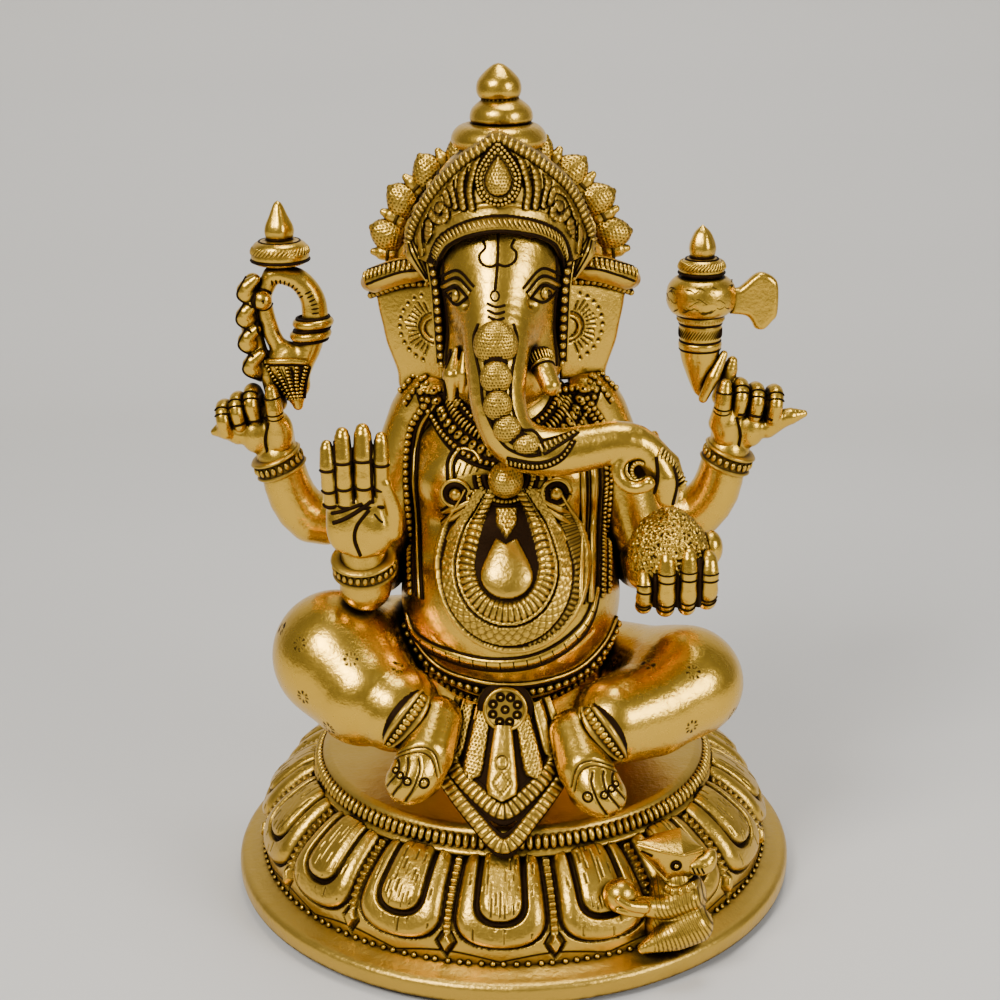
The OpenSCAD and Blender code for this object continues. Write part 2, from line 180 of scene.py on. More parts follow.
def path_distance(u, v, path):
    """Distance from each (u, v) to a flat path, and how far along the path the nearest point is."""
    path = np.asarray(path, float)
    best = np.full(np.shape(u), 1e9)
    along = np.zeros(np.shape(u))
    run = 0.0
    for a, b in zip(path[:-1], path[1:]):
        ab = b - a
        span = float(np.hypot(*ab))
        if span < 1e-9:
            continue
        t = np.clip(((u - a[0]) * ab[0] + (v - a[1]) * ab[1]) / span**2, 0, 1)
        d = np.hypot(u - a[0] - t * ab[0], v - a[1] - t * ab[1])
        nearer = d < best
        best = np.where(nearer, d, best)
        along = np.where(nearer, run + t * span, along)
        run += span
    return best, along


def off_mark(value, pitch):
    """How far a value is from the nearest mark, where marks are a pitch apart."""
    return np.abs(value / pitch - np.round(value / pitch)) * pitch


def hashed(i, j):
    """A fixed pseudo-random number from 0 to 1 for each pair of whole numbers."""
    return np.abs(np.sin(i * 127.1 + j * 311.7) * 43758.5453) % 1.0


def punched_dots(u, v, pitch):
    """Small round punch marks in loose rows: 1 in a mark and 0 between them."""
    row = np.floor(v / pitch)
    a = u / pitch + 0.5 * (row % 2)
    column = np.floor(a)
    du = a - column - 0.5 + 0.24 * (hashed(column, row) - 0.5)
    dv = v / pitch - row - 0.5 + 0.24 * (hashed(row, column + 9) - 0.5)
    return smooth(0.36, 0.18, np.hypot(du, dv))


# ---- pieces ----

def new_piece(name, vertices, faces, material, ink=None):
    """A mesh object made from points in millimetres. faces is a list of blocks, each of faces with one
    number of corners. ink is how much dark patina each point holds; between the offering hand's fingers it is
    painted shade."""
    mesh = bpy.data.meshes.new(name)
    blocks = [np.asarray(block, np.int32) for block in faces if len(block)]
    loops = np.concatenate([b.ravel() for b in blocks])
    counts = np.concatenate([np.full(len(b), b.shape[1], np.int32) for b in blocks])
    starts = np.r_[0, np.cumsum(counts)[:-1]].astype(np.int32)
    mesh.vertices.add(len(vertices))
    mesh.vertices.foreach_set("co", (np.asarray(vertices, np.float32) * MM).ravel())
    mesh.loops.add(len(loops))
    mesh.loops.foreach_set("vertex_index", loops)
    mesh.polygons.add(len(counts))
    mesh.polygons.foreach_set("loop_start", starts)
    mesh.polygons.foreach_set("loop_total", counts)
    mesh.update(calc_edges=True)
    mesh.validate()
    mesh.polygons.foreach_set("use_smooth", np.ones(len(mesh.polygons), bool))
    if ink is not None:
        layer = mesh.attributes.new("ink", "FLOAT", "POINT")
        layer.data.foreach_set("value", np.asarray(ink, np.float32))
    piece = bpy.data.objects.new(name, mesh)
    bpy.context.scene.collection.objects.link(piece)
    mesh.materials.append(material)
    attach(piece, "root")
    return piece


def cast(name, points, faces, ink=None):
    """A piece of polished cast brass, from a clay's skin."""
    return new_piece(name, points, [faces], SKIN, ink)


class Clay:
    """A block of clay: a signed distance field on a grid, in millimetres, negative inside."""

    def __init__(self, low, high, step):
        self.low = np.asarray(low, float)
        self.step = step
        count = np.ceil((np.asarray(high, float) - self.low) / step).astype(int) + 1
        self.axes = [self.low[i] + step * np.arange(count[i]) for i in range(3)]
        self.field = np.full(count, OUTSIDE, np.float32)

    def near(self, low, high):
        """The slices of the grid between two corners, and their coordinates."""
        last = np.array(self.field.shape)
        a = np.clip(np.floor((low - self.low) / self.step).astype(int), 0, last - 1)
        b = np.clip(np.ceil((high - self.low) / self.step).astype(int) + 1, a + 1, last)
        part = tuple(slice(a[i], b[i]) for i in range(3))
        x, y, z = (self.axes[i][part[i]] for i in range(3))
        return part, x[:, None, None], y[None, :, None], z[None, None, :]

    def join(self, part, d, soft):
        """Adds a shape, or cuts it out where soft is negative, with a rounded seam of that width."""
        old = self.field[part]
        width = max(abs(soft), 1e-3)
        if soft < 0:
            d = -d
            seam = np.maximum(width - np.abs(old - d), 0) / width
            self.field[part] = np.maximum(old, d) + seam * seam * width / 4
        else:
            seam = np.maximum(width - np.abs(old - d), 0) / width
            self.field[part] = np.minimum(old, d) - seam * seam * width / 4

    def egg(self, centre, radii, soft, turn=None):
        """An oval ball; turn is a rotation matrix."""
        centre = np.asarray(centre, float)
        radii = np.ones(3) * np.asarray(radii, float)
        reach = (radii.max() if turn is not None else radii) + abs(soft) + 2 * self.step
        part, x, y, z = self.near(centre - reach, centre + reach)
        x, y, z = x - centre[0], y - centre[1], z - centre[2]
        if turn is not None:
            t = np.array(turn, float)
            x, y, z = (t[0, k] * x + t[1, k] * y + t[2, k] * z for k in range(3))
        a = np.sqrt((x / radii[0])**2 + (y / radii[1])**2 + (z / radii[2])**2)
        b = np.sqrt((x / radii[0]**2)**2 + (y / radii[1]**2)**2 + (z / radii[2]**2)**2)
        self.join(part, (a * (a - 1) / np.maximum(b, 1e-6)).astype(np.float32), soft)

    def limb(self, path, radii, soft, flat=(1, 1, 1)):
        """A round limb along a path. flat narrows or widens its section along X, Y and Z."""
        path = np.asarray(path, float)
        radii = np.ones(len(path)) * np.asarray(radii, float)
        flat = np.asarray(flat, float)
        reach = radii.max() * flat + abs(soft) + 2 * self.step
        part, x, y, z = self.near(path.min(axis=0) - reach, path.max(axis=0) + reach)
        x, y, z = x / flat[0], y / flat[1], z / flat[2]
        best = None
        for a, b, ra, rb in zip(path[:-1] / flat, path[1:] / flat, radii[:-1], radii[1:]):
            ab = b - a
            span = max(float(ab @ ab), 1e-9)
            t = np.clip(((x - a[0]) * ab[0] + (y - a[1]) * ab[1] + (z - a[2]) * ab[2]) / span, 0, 1)
            d = np.sqrt((x - a[0] - t * ab[0])**2 + (y - a[1] - t * ab[1])**2
                        + (z - a[2] - t * ab[2])**2) - (ra + (rb - ra) * t)
            best = d if best is None else np.minimum(best, d)
        self.join(part, (best * flat.min()).astype(np.float32), soft)

    def below(self, height):
        """Cuts off everything under a height."""
        z = self.axes[2][None, None, :]
        self.field = np.maximum(self.field, (height - z).astype(np.float32))

    def shell(self):
        """The clay's skin as points and faces."""
        field = self.field.copy()
        for k in range(3):
            edge = [slice(None)] * 3
            for end in (0, -1):
                edge[k] = end
                field[tuple(edge)] = OUTSIDE
        grid = openvdb.FloatGrid(OUTSIDE)
        grid.copyFromArray(field)
        points, faces = grid.convertToQuads(isovalue=0.0)
        return points * self.step + self.low, np.asarray(faces)


def tree_of(points, faces):
    """A search tree over a mesh."""
    return BVHTree.FromPolygons(points.tolist(), faces.tolist())


class Skin:
    """A surface that ornament is laid on."""

    def __init__(self, points, faces):
        self.tree = tree_of(points, faces)

    def from_front(self, x, z, fallback=-20):
        """Where a line coming from the front at (x, z) meets the skin, and the skin's direction there.
        Where it misses, the place nearest to the line at the fallback depth."""
        hit, normal, _, _ = self.tree.ray_cast(Vector((x, RAY_START, z)), Vector((0, 1, 0)), RAY_LENGTH)
        if hit is None:
            hit, normal, _, _ = self.tree.find_nearest(Vector((x, fallback, z)))
        return np.array(hit), np.array(normal)

    def near(self, p):
        """The nearest place on the skin, and its direction."""
        hit, normal, _, _ = self.tree.find_nearest(Vector(p))
        return np.array(hit), np.array(normal)

    def from_around(self, centre, turns):
        """Places and outward directions met by level lines that come in to a centre from behind."""
        start = 90
        spots = []
        outs = []
        for turn in turns:
            away = point(math.sin(turn), math.cos(turn), 0)
            hit, normal, _, _ = self.tree.ray_cast(Vector(centre + away * start), Vector(-away))
            spots.append(np.array(hit))
            outs.append(np.array(normal))
        return np.array(spots), np.array(outs)


def closed_rings(rows, sides):
    """Quads between rings of points, and triangles to the two tips, which are the last two points."""
    i = np.arange(rows - 1)[:, None] * sides
    j = np.arange(sides)
    k = (j + 1) % sides
    quads = np.stack([i + j, i + k, i + sides + k, i + sides + j], axis=-1).reshape(-1, 4)
    last = (rows - 1) * sides
    tip = rows * sides
    tris = np.vstack([np.stack([k, j, np.full(sides, tip)], axis=-1),
                      np.stack([last + j, last + k, np.full(sides, tip + 1)], axis=-1)])
    return quads, tris


class Heap:
    """Copies of small shapes, gathered into one mesh."""

    def __init__(self):
        self.points, self.quads, self.tris, self.inks, self.count = [], [], [], [], 0

    def add(self, shape, origin, axes, ink=0.0):
        """axes holds the shape's X, Y and Z as rows, each as long as the shape is scaled."""
        points, quads, tris = shape
        self.points.append(points @ np.asarray(axes, float) + origin)
        self.quads.append(quads + self.count)
        self.tris.append(tris + self.count)
        self.inks.append(np.full(len(points), ink))
        self.count += len(points)

    def tube(self, path, radius, sides=8, ink=0.0):
        """A tube along a path, with pointed ends closed."""
        path = np.asarray(path, float)
        radius = np.ones(len(path)) * np.asarray(radius, float)
        ahead = np.gradient(path, axis=0)
        ahead /= np.maximum(np.linalg.norm(ahead, axis=1), 1e-9)[:, None]
        side = np.cross(ahead[0], UP)
        if np.linalg.norm(side) < 0.2:
            side = np.cross(ahead[0], FRONT)
        rows = []
        turns = np.linspace(0, TURN, sides, endpoint=False)
        for p, t, r in zip(path, ahead, radius):
            side = unit(side - t * (side @ t))
            over = np.cross(t, side)
            rows.append(p + r * (np.cos(turns)[:, None] * side + np.sin(turns)[:, None] * over))
        points = np.vstack(rows + [path[:1], path[-1:]])
        self.add((points, *closed_rings(len(path), sides)), np.zeros(3), np.eye(3), ink)

    def cut(self, path, radius):
        """A cut line: a thin tube full of patina."""
        self.tube(path, radius, 6, 1.0)

    def sheet(self, points, keep=None, ink=None):
        """A grid of points, shaped (rows, columns, 3), as a surface. keep says which points are in it."""
        rows, columns = points.shape[:2]
        index = np.arange(rows * columns).reshape(rows, columns)
        quads = np.stack([index[:-1, :-1], index[:-1, 1:], index[1:, 1:], index[1:, :-1]], axis=-1)
        quads = quads.reshape(-1, 4)
        if keep is not None:
            quads = quads[keep.ravel()[quads].all(axis=1)]
        used = np.unique(quads)
        new_index = np.full(rows * columns, -1)
        new_index[used] = np.arange(len(used))
        self.points.append(points.reshape(-1, 3)[used])
        self.quads.append(new_index[quads] + self.count)
        self.inks.append(np.zeros(len(used)) if ink is None else ink.ravel()[used])
        self.count += len(used)

    def skin(self, points, faces, ink=None):
        """A ready mesh of quads."""
        self.points.append(np.asarray(points))
        self.quads.append(np.asarray(faces) + self.count)
        self.inks.append(np.zeros(len(points)) if ink is None else ink)
        self.count += len(points)

    def shell_of(self, clay):
        """Adds a clay's skin as it is, and returns it to be drawn on."""
        points, faces = clay.shell()
        self.skin(points, faces)
        return Skin(points, faces)

    def piece(self, name, material, node_slot, *nodes):
        """Makes one piece of everything in the heap; nodes are the CAD nodes that it stands for."""
        points = np.vstack(self.points)
        blocks = [np.vstack(self.quads)] if self.quads else []
        if self.tris:
            blocks.append(np.vstack(self.tris))
        made = new_piece(name, points, blocks, material, np.concatenate(self.inks))
        if nodes:
            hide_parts(*nodes)
        return made


def bead_shape(segments=10, rings=6):
    """A unit ball as points, quads and triangles."""
    a = np.linspace(0, TURN, segments, endpoint=False)
    b = np.linspace(-math.pi / 2, math.pi / 2, rings + 1)[1:-1]
    points = [np.stack([np.cos(a) * math.cos(t), np.sin(a) * math.cos(t), np.full(segments, math.sin(t))],
                       axis=1) for t in b]
    points = np.vstack(points + [[[0, 0, -1]], [[0, 0, 1]]])
    return (points, *closed_rings(len(b), segments))


BEAD = bead_shape()


def axes_at(ahead, out, along, across, high):
    """Scaled axes of a shape on a surface: X along a path, Y across it and Z out of the surface."""
    out = unit(out)
    ahead = unit(np.asarray(ahead) - out * (np.asarray(ahead) @ out))
    return np.stack([ahead * along, np.cross(out, ahead) * across, out * high])


def bead_row(heap, path, normals, pitch, along, across, high, lift=0.0, ink=0.0):
    """Beads or ticks, evenly spaced along a path that lies on a skin."""
    path = np.asarray(path, float)
    count = max(2, round(length(path) / pitch) + 1)
    spots = even(np.hstack([path, np.asarray(normals, float)]), count)
    ahead = np.gradient(spots[:, :3], axis=0)
    for p, t in zip(spots, ahead):
        out = unit(p[3:])
        heap.add(BEAD, p[:3] + out * lift, axes_at(t, out, along, across, high), ink)


def traced(skin, line, count):
    """A smooth line drawn from the front as (x, z) places, laid on a skin."""
    return laid(skin, spline(line, count), front=True)


def laid(skin, path, front=False):
    """A path drawn onto a skin: from the front, as (x, z), or to the nearest place of each point."""
    found = [skin.from_front(*p) if front else skin.near(p) for p in path]
    return np.array([f[0] for f in found]), np.array([f[1] for f in found])


# ---- materials ----

# How much open sky a place sees where patina starts to hold, and where it is full.
OPEN_METAL = 0.92
DEEP_HOLLOW = 0.44
# The colour of the patina, and of the painted shade between the offering hand's fingers.
UMBER = (0.022, 0.011, 0.005)


def brass(name, polished, worn, roughness, reach, grain):
    """Brass: noise between two golds, and dark patina wherever the shape is hollow or inked; the ink between
    the offering hand's fingers is painted shade.
    """
    material = bpy.data.materials.new(name)
    material.use_nodes = True
    nodes, links = material.node_tree.nodes, material.node_tree.links
    shader = nodes["Principled BSDF"]
    shader.inputs["Metallic"].default_value = 1.0

    def node(kind, **values):
        made = nodes.new(kind)
        for key, value in values.items():
            setattr(made, key, value)
        return made

    def maths(operation, a, b, clamp=False):
        made = node("ShaderNodeMath", operation=operation, use_clamp=clamp)
        for socket, value in zip(made.inputs, (a, b)):
            if isinstance(value, (int, float)):
                socket.default_value = value
            else:
                links.new(value, socket)
        return made.outputs[0]

    def mixed(factor, a, b):
        made = node("ShaderNodeMix", data_type="RGBA")
        links.new(factor, made.inputs["Factor"])
        for key, value in (("A", a), ("B", b)):
            socket = [s for s in made.inputs if s.name == key and s.type == "RGBA"][0]
            if isinstance(value, tuple):
                socket.default_value = (*value, 1)
            else:
                links.new(value, socket)
        return [s for s in made.outputs if s.type == "RGBA"][0]

    def cloud(scale, detail):
        made = node("ShaderNodeTexNoise")
        made.inputs["Scale"].default_value = scale
        made.inputs["Detail"].default_value = detail
        links.new(place, made.inputs["Vector"])
        return made.outputs[0]

    place = node("ShaderNodeTexCoord").outputs["Object"]
    broad = cloud(45.0, 3.0)
    fine = cloud(420.0, 4.0)
    shade = node("ShaderNodeAmbientOcclusion", samples=8)
    shade.inputs["Distance"].default_value = reach
    ink = node("ShaderNodeAttribute", attribute_name="ink").outputs["Fac"]

    open_sky = maths("ADD", shade.outputs["AO"], maths("MULTIPLY", maths("SUBTRACT", fine, 0.5), 0.35))
    held = node("ShaderNodeMapRange", interpolation_type="SMOOTHSTEP")
    held.inputs["From Min"].default_value = OPEN_METAL
    held.inputs["From Max"].default_value = DEEP_HOLLOW
    links.new(open_sky, held.inputs["Value"])
    dark = maths("MAXIMUM", held.outputs[0], ink, clamp=True)

    gold = mixed(maths("MULTIPLY_ADD", broad, 1.0), worn, polished)
    links.new(mixed(dark, gold, UMBER), shader.inputs["Base Color"])
    rough = maths("ADD", maths("MULTIPLY", dark, 0.35), maths("MULTIPLY", fine, 0.12))
    links.new(maths("ADD", rough, roughness), shader.inputs["Roughness"])
    bump = node("ShaderNodeBump")
    bump.inputs["Strength"].default_value = grain
    bump.inputs["Distance"].default_value = 0.0004
    links.new(maths("ADD", cloud(900.0, 3.0), maths("MULTIPLY", cloud(130.0, 2.0), 2.0)),
              bump.inputs["Height"])
    links.new(bump.outputs[0], shader.inputs["Normal"])
    return material


GOLD = (0.74, 0.455, 0.055)
OLD_GOLD = (0.36, 0.20, 0.025)
SKIN = brass("polished_brass", GOLD, (0.47, 0.27, 0.03), 0.2, 0.0035, 0.25)
CHASED = brass("antiqued_brass", (0.68, 0.42, 0.055), OLD_GOLD, 0.24, 0.003, 0.4)
PLAIN = brass("satin_brass", (0.60, 0.38, 0.06), (0.42, 0.25, 0.035), 0.3, 0.005, 0.35)


# ---- base ----

def turned(profile, relief, columns):
    """A lathe shape as a grid of points. profile holds (radius, height); relief(angle, run, radius)
    gives how far each point stands out along the profile's normal, and its ink."""
    profile = np.asarray(profile, float)
    slope = np.gradient(profile, axis=0)
    slope /= np.linalg.norm(slope, axis=1)[:, None]
    normal = np.stack([slope[:, 1], -slope[:, 0]], axis=1)
    run = np.r_[0, np.cumsum(np.linalg.norm(np.diff(profile, axis=0), axis=1))]
    angle = circle(columns + 1)
    a, v = np.meshgrid(angle, run, indexing="xy")
    stand, ink = relief(a, v, profile[:, :1] * np.ones_like(a))
    radius = profile[:, :1] + normal[:, :1] * stand
    height = profile[:, 1:] + normal[:, 1:] * stand
    return np.stack([radius * np.sin(a), -radius * np.cos(a), height], axis=-1), ink


def plain_relief(a, v, r):
    """No relief and no ink, for turned()."""
    return np.zeros_like(a), np.zeros_like(a)


def build_rim():
    """The plain ring that the idol stands on, with its rounded edge and a step up to the drum."""
    high = box("base_rim")[1]
    radius = high[0]
    inner = size("lotus_base")[0] / 2 - 3
    profile = [(radius - 8, 0), (radius - 1.2, 0), (radius - 0.3, 0.5), (radius, 1.6), (radius, 4.0),
               (radius - 0.5, 5.2), (radius - 1.6, 5.9), (radius - 4, 6.4), (inner + 2.5, high[2] - 0.6),
               (inner + 0.5, high[2] - 0.2), (inner - 1, high[2])]
    heap = Heap()
    heap.sheet(*ordered(turned(spline(profile, 90), plain_relief, 360)))
    under = [(inner - 1, high[2]), (radius - 14, high[2] - 2), (radius - 11, 2.5), (radius - 8, 0)]
    heap.sheet(*ordered(turned(even(under, 24), plain_relief, 180)))
    heap.piece("base_rim_ring", PLAIN, "base_metal", "base_rim")


def ordered(grid_and_ink):
    """The three arguments that Heap.sheet takes, from what turned() gives."""
    grid, ink = grid_and_ink
    return grid, None, ink


def petal_relief(petals, turn, top_run):
    """The chased lotus petals: for each place, its height out of the drum and its ink."""
    spacing = TURN / petals

    def relief(a, v, r):
        seat = (a - turn) / spacing
        number = np.round(seat)
        s = (seat - number) * spacing * r
        half = spacing * r / 2
        t = v - 5.4
        lobe_half = half - 2.1
        low = np.clip((9.0 - t) / 9.0, 0, 2)
        edge = (1 - ((np.abs(s) / lobe_half)**2.4 + low**2.4)**(1 / 2.4)) * lobe_half
        lobe = np.sqrt(np.clip(1 - (1 - np.clip(edge / 3.8, 0, 1))**2, 0, 1)) * 2.9
        panel_half = lobe_half * 0.5
        low = np.clip((12.5 - t) / 5.5, 0, 2)
        panel_edge = (1 - ((np.abs(s) / panel_half)**2.4 + low**2.4)**(1 / 2.4)) * panel_half
        groove = smooth(1.15, 0.45, np.abs(panel_edge + 0.6)) * smooth(0.6, 1.4, edge)
        panel = smooth(0.0, 2.4, panel_edge) * 0.9
        column = np.round(s / 1.25)
        row = np.floor(t / 3.1 + hashed(column, number))
        dash = (hashed(column + 7 * number, row) > 0.62) & (np.abs(s / 1.25 - column) < 0.17)
        dash &= (panel_edge > 1.0) | ((edge > 1.6) & (panel_edge < -2.0) & (hashed(row, column) > 0.7))
        height = lobe + panel - 1.9 * groove - 0.35 * dash
        outline = smooth(0.95, 0.5, np.abs(edge + 0.45))
        ink = np.maximum(np.maximum(groove, 0.85 * dash), outline)
        stem = half - np.abs(s)
        beads = 0.72 + 0.28 * np.cos(TURN * v / 2.1)
        on_stem = smooth(1.3, 0.8, stem) * smooth(2.5, 4.0, t)
        diamond = stem + np.abs(t - 1.0) * 0.62
        height = np.maximum(height, 2.0 * beads * on_stem)
        height = np.maximum(height, 2.4 * smooth(2.5, 1.0, diamond))
        ink = np.maximum(ink, smooth(0.75, 0.4, np.abs(diamond - 2.9)) * (t < 4) * (edge < 0.4))
        ink = np.where((diamond < 2.3) | ((stem < 0.95) & (t > 3.5)), 0.5 * (beads < 0.55) * (t > 3.5), ink)
        skirt = (edge < -0.9) & (diamond > 3.3) & (t < 4)
        height = np.where(skirt, 0.9, height)
        bracket = 1.1 + 2.6 * np.abs(np.sin(math.pi * (seat - number)))
        ink = np.where(skirt, smooth(0.55, 0.2, np.abs(v - bracket)), ink)
        fade = smooth(top_run, top_run - 3.0, v)
        return height * fade, np.clip(ink, 0, 1)

    return relief


def drop_depth(u, v, radius, reach):
    """How far inside a drop each place lies; its round part has this radius and its point is up."""
    narrow = 1 - np.clip(v / reach, 0, 0.97) ** 1.35
    return radius - np.where(v <= 0, np.hypot(u, v), np.abs(u) / narrow)


def build_lotus():
    """The drum of chased lotus petals, a bead row at its foot, and its inner wall."""
    low, high = box("lotus_base")
    rim_top = low[2]
    seat = box("seat_rope_border")
    top_radius = seat[1][0]
    radius = high[0] - 2.6
    tall = high[2] - rim_top
    profile = spline([(radius, rim_top - 0.5), (radius + 0.1, rim_top + 0.22 * tall),
                      (radius - 1.6, rim_top + 0.45 * tall), (radius - 5.2, rim_top + 0.67 * tall),
                      (radius - 10, rim_top + 0.85 * tall), (top_radius + 1, high[2] - 0.5),
                      (top_radius - 3, high[2] + 0.5)], 130)
    run = length(profile)
    heap = Heap()
    heap.sheet(*ordered(turned(profile, petal_relief(16, math.radians(-3), run), 1500)))
    for i in range(150):
        a = TURN * (i + 0.3 * hashed(i, 3)) / 150
        out = point(math.sin(a), -math.cos(a), 0)
        heap.add(BEAD, out * (radius + 1.3) + UP * (rim_top + 0.1),
                 axes_at(np.cross(out, UP), UP, 0.8, 0.8, 0.8))
    inner = [(radius - 1, rim_top - 0.5), (radius - 6, rim_top), (radius - 7, rim_top + 0.3 * tall),
             (radius - 12, rim_top + 0.55 * tall), (radius - 22, high[2] - 1)]
    heap.sheet(*ordered(turned(even(inner, 30), plain_relief, 160)))
    heap.piece("lotus_drum", CHASED, "base_metal", "lotus_base")


def build_seat():
    """The smooth seat and the slanted rope edge round it."""
    low, high = box("seat_slab")
    radius = high[0]
    heap = Heap()
    profile = spline([(radius - 6, low[2]), (radius + 0.5, low[2] + 0.2), (radius + 0.7, low[2] + 4),
                      (radius + 0.3, high[2] - 1.6), (radius - 1.4, high[2] - 0.3), (radius - 4, high[2]),
                      (radius - 20, high[2]), (22, high[2])], 110)
    heap.sheet(*ordered(turned(profile, plain_relief, 240)))
    heap.piece("seat_plate", PLAIN, "base_metal", "seat_slab")
    low, high = box("seat_rope_border")
    radius = high[0]
    rope = Heap()
    band = spline([(radius - 2.6, low[2] - 0.3), (radius - 0.4, low[2] + 0.4), (radius + 0.2, low[2] + 1.8),
                   (radius - 1.2, low[2] + 3.0), (radius - 2.2, low[2] + 3.8)], 30)
    rope.sheet(*ordered(turned(band, plain_relief, 240)))
    count = round(TURN * radius / 2.35)
    for i in range(count):
        a = TURN * i / count
        out = unit(point(math.sin(a), -math.cos(a), 0.55))
        spot = point(math.sin(a), -math.cos(a), 0) * (radius - 1.5) + UP * (high[2] - 1.9)
        rope.add(BEAD, spot, axes_at(np.cross(UP, out), out, 1.02, 2.3, 1.25))
    rope.piece("seat_rope_edge", CHASED, "base_metal", "seat_rope_border")


build_rim()
build_lotus()
build_seat()


# ---- torso ----

def sculpt_torso():
    """The cored body: hips, round belly, chest and neck, with the fold under the belly."""
    low, high = box("torso")
    c = middle("torso")
    clay = Clay(low - 4, high + point(4, 4, 2), 0.5)
    clay.egg(c + point(0, -6.6, -10), (33, 36, 33), 6)
    clay.egg(c + point(0, 2.4, 25), (31, 25, 28), 9)
    clay.egg(c + point(0, 9.4, -45), (41, 33, 25), 8)
    clay.egg(c + point(0, 0.4, 47), (17, 15, 13), 8)
    for side in (-1, 1):
        clay.egg(c + point(side * 13, -13, 27), (13, 10, 10), 6)
    spine = [c + point(0, 30, 40), c + point(0, 27.6, 20), c + point(0, 27, -10), c + point(0, 38, -35)]
    clay.limb(spine, 2.0, -5)
    fold = [c + point(x, -43.2 + abs(x) ** 2 * 0.020, -21 + abs(x) ** 2 * 0.0135) for x in range(-24, 25, 3)]
    clay.limb(fold, 0.5, -1.0)
    clay.below(low[2])
    return clay.shell()


def build_pendant(skin):
    """The great breast pendant: a smooth drop in a ticked ring, a crosshatched ring and a plain rim."""
    c = middle("breast_pendant") + point(0, 0, 3.5)
    step = 0.3
    u, v = np.meshgrid(np.arange(-24, 27, step), np.arange(-27, 19.5, step))
    dome = drop_depth(u, (v + 2.5) * 1.3, 7.2, 15.5)
    dome = np.where(v > 4.2 + 0.5 * np.abs(u), -1.0, dome)
    ring = np.minimum(-drop_depth(u, v, 9.1, 23.7), drop_depth(u, v + 1.2, 13.3, 28.5))
    outside = -drop_depth(u, v + 1.2, 13.3, 28.5)
    hatched = np.minimum(outside - 1.6, drop_depth(u, v + 2.9, 18.3, 36.3))
    rim = drop_depth(u - 1.6, v + 1.5, 22.2, 42.0)
    height = np.full(u.shape, 0.2)
    ink = np.ones(u.shape)

    def raised(where, lift, dark):
        nonlocal height, ink
        height = np.where(where, lift, height)
        ink = np.where(where, dark, ink)

    raised(dome > 0, 1.2 + 1.9 * np.sqrt(np.clip(1 - (1 - dome / 7.0)**2, 0, 1)), 0.0)
    turn = np.where(v <= 0, np.arctan2(v, u) * 12.0, np.where(u > 0, v, -v + 1))
    tick = smooth(0.36, 0.14, off_mark(turn, 1.55))
    raised(ring > 0, 0.7 + 1.3 * np.sqrt(np.clip(ring / 1.5, 0, 1)) - 0.5 * tick, 0.95 * tick)
    raised((outside > 0) & (outside < 0.8), 1.5, 0.0)
    run = turn * 1.35
    cross = np.minimum(off_mark(run + hatched, 2.2), off_mark(run - hatched, 2.2))
    mark = smooth(0.36, 0.12, cross) * (hatched > 0.4) * (hatched < 3.0)
    raised(hatched > 0, 1.2 - 0.25 * mark, 0.7 * mark)
    raised((rim > 0) & (rim < 1.3), 1.3, 0.0)
    strokes = smooth(0.45, 0.2, off_mark(run, 1.1))
    raised((rim > 1.5) & (hatched < -1.0) & (outside > 2.5) & (u > 6), 0.2 + 0.5 * strokes,
           1 - 0.55 * strokes)
    leaf = np.minimum(2.8 * np.clip((v - 6.2) / 3.0, 0, 1) - np.abs(u), 13.8 - v)
    pit = punched_dots(u, v, 1.1)
    raised(leaf > 0, 1.3 + 0.6 * smooth(0, 1.2, leaf) - 0.3 * pit, 0.8 * pit)
    height = np.where(rim > 0, height, -1.2)
    points = draped(skin, c[0] + u, c[2] + v, height)
    heap = Heap()
    heap.sheet(points, rim > -1.6, np.where(rim > 0, ink, 0.6))
    for side in (-1, 1):
        for i, (x, z) in enumerate(((18.6, 11.0), (18.8, 7.2), (17.2, 3.6))):
            start = (c[0] + side * (8.6 + 0.5 * i), c[2] + 16.6 - 1.4 * i)
            leaf_on(heap, skin, [start, (c[0] + side * x, c[2] + z)], 1.25)
    heap.piece("breast_pendant_drop", CHASED, "chased_ornament", "breast_pendant")


def leaf_on(heap, skin, ends, radius):
    """A narrow leaf laid on the skin, with a dark line along its edge; ends are (x, z) places."""
    where, out = traced(skin, ends, 20)
    swell = radius * np.interp(np.arange(20), [0, 13, 19], [0.5, 1.0, 0.3])
    heap.tube(where + out * 0.2, swell, 8)
    across = np.cross(unit_rows(np.gradient(where, axis=0)), out)
    for sign in (-1, 1):
        heap.cut(where + across * (sign * (swell + 0.3))[:, None], 0.42)


def ridge_on(heap, skin, ends, radius, ink=0.0, lift=0.3, count=14):
    """A cord laid on the skin along a line drawn from the front as (x, z) places."""
    where, out = traced(skin, ends, count)
    heap.tube(where + out * lift, radius, 8, ink)


def draped(skin, x, z, height):
    """A grid seen from the front, pushed onto the skin and lifted off it by a height."""
    points = np.empty(x.shape + (3,))
    normals = np.empty(x.shape + (3,))
    for i in range(x.shape[0]):
        for j in range(x.shape[1]):
            points[i, j], normals[i, j] = skin.from_front(x[i, j], z[i, j], -25)
    return points + normals * height[..., None]


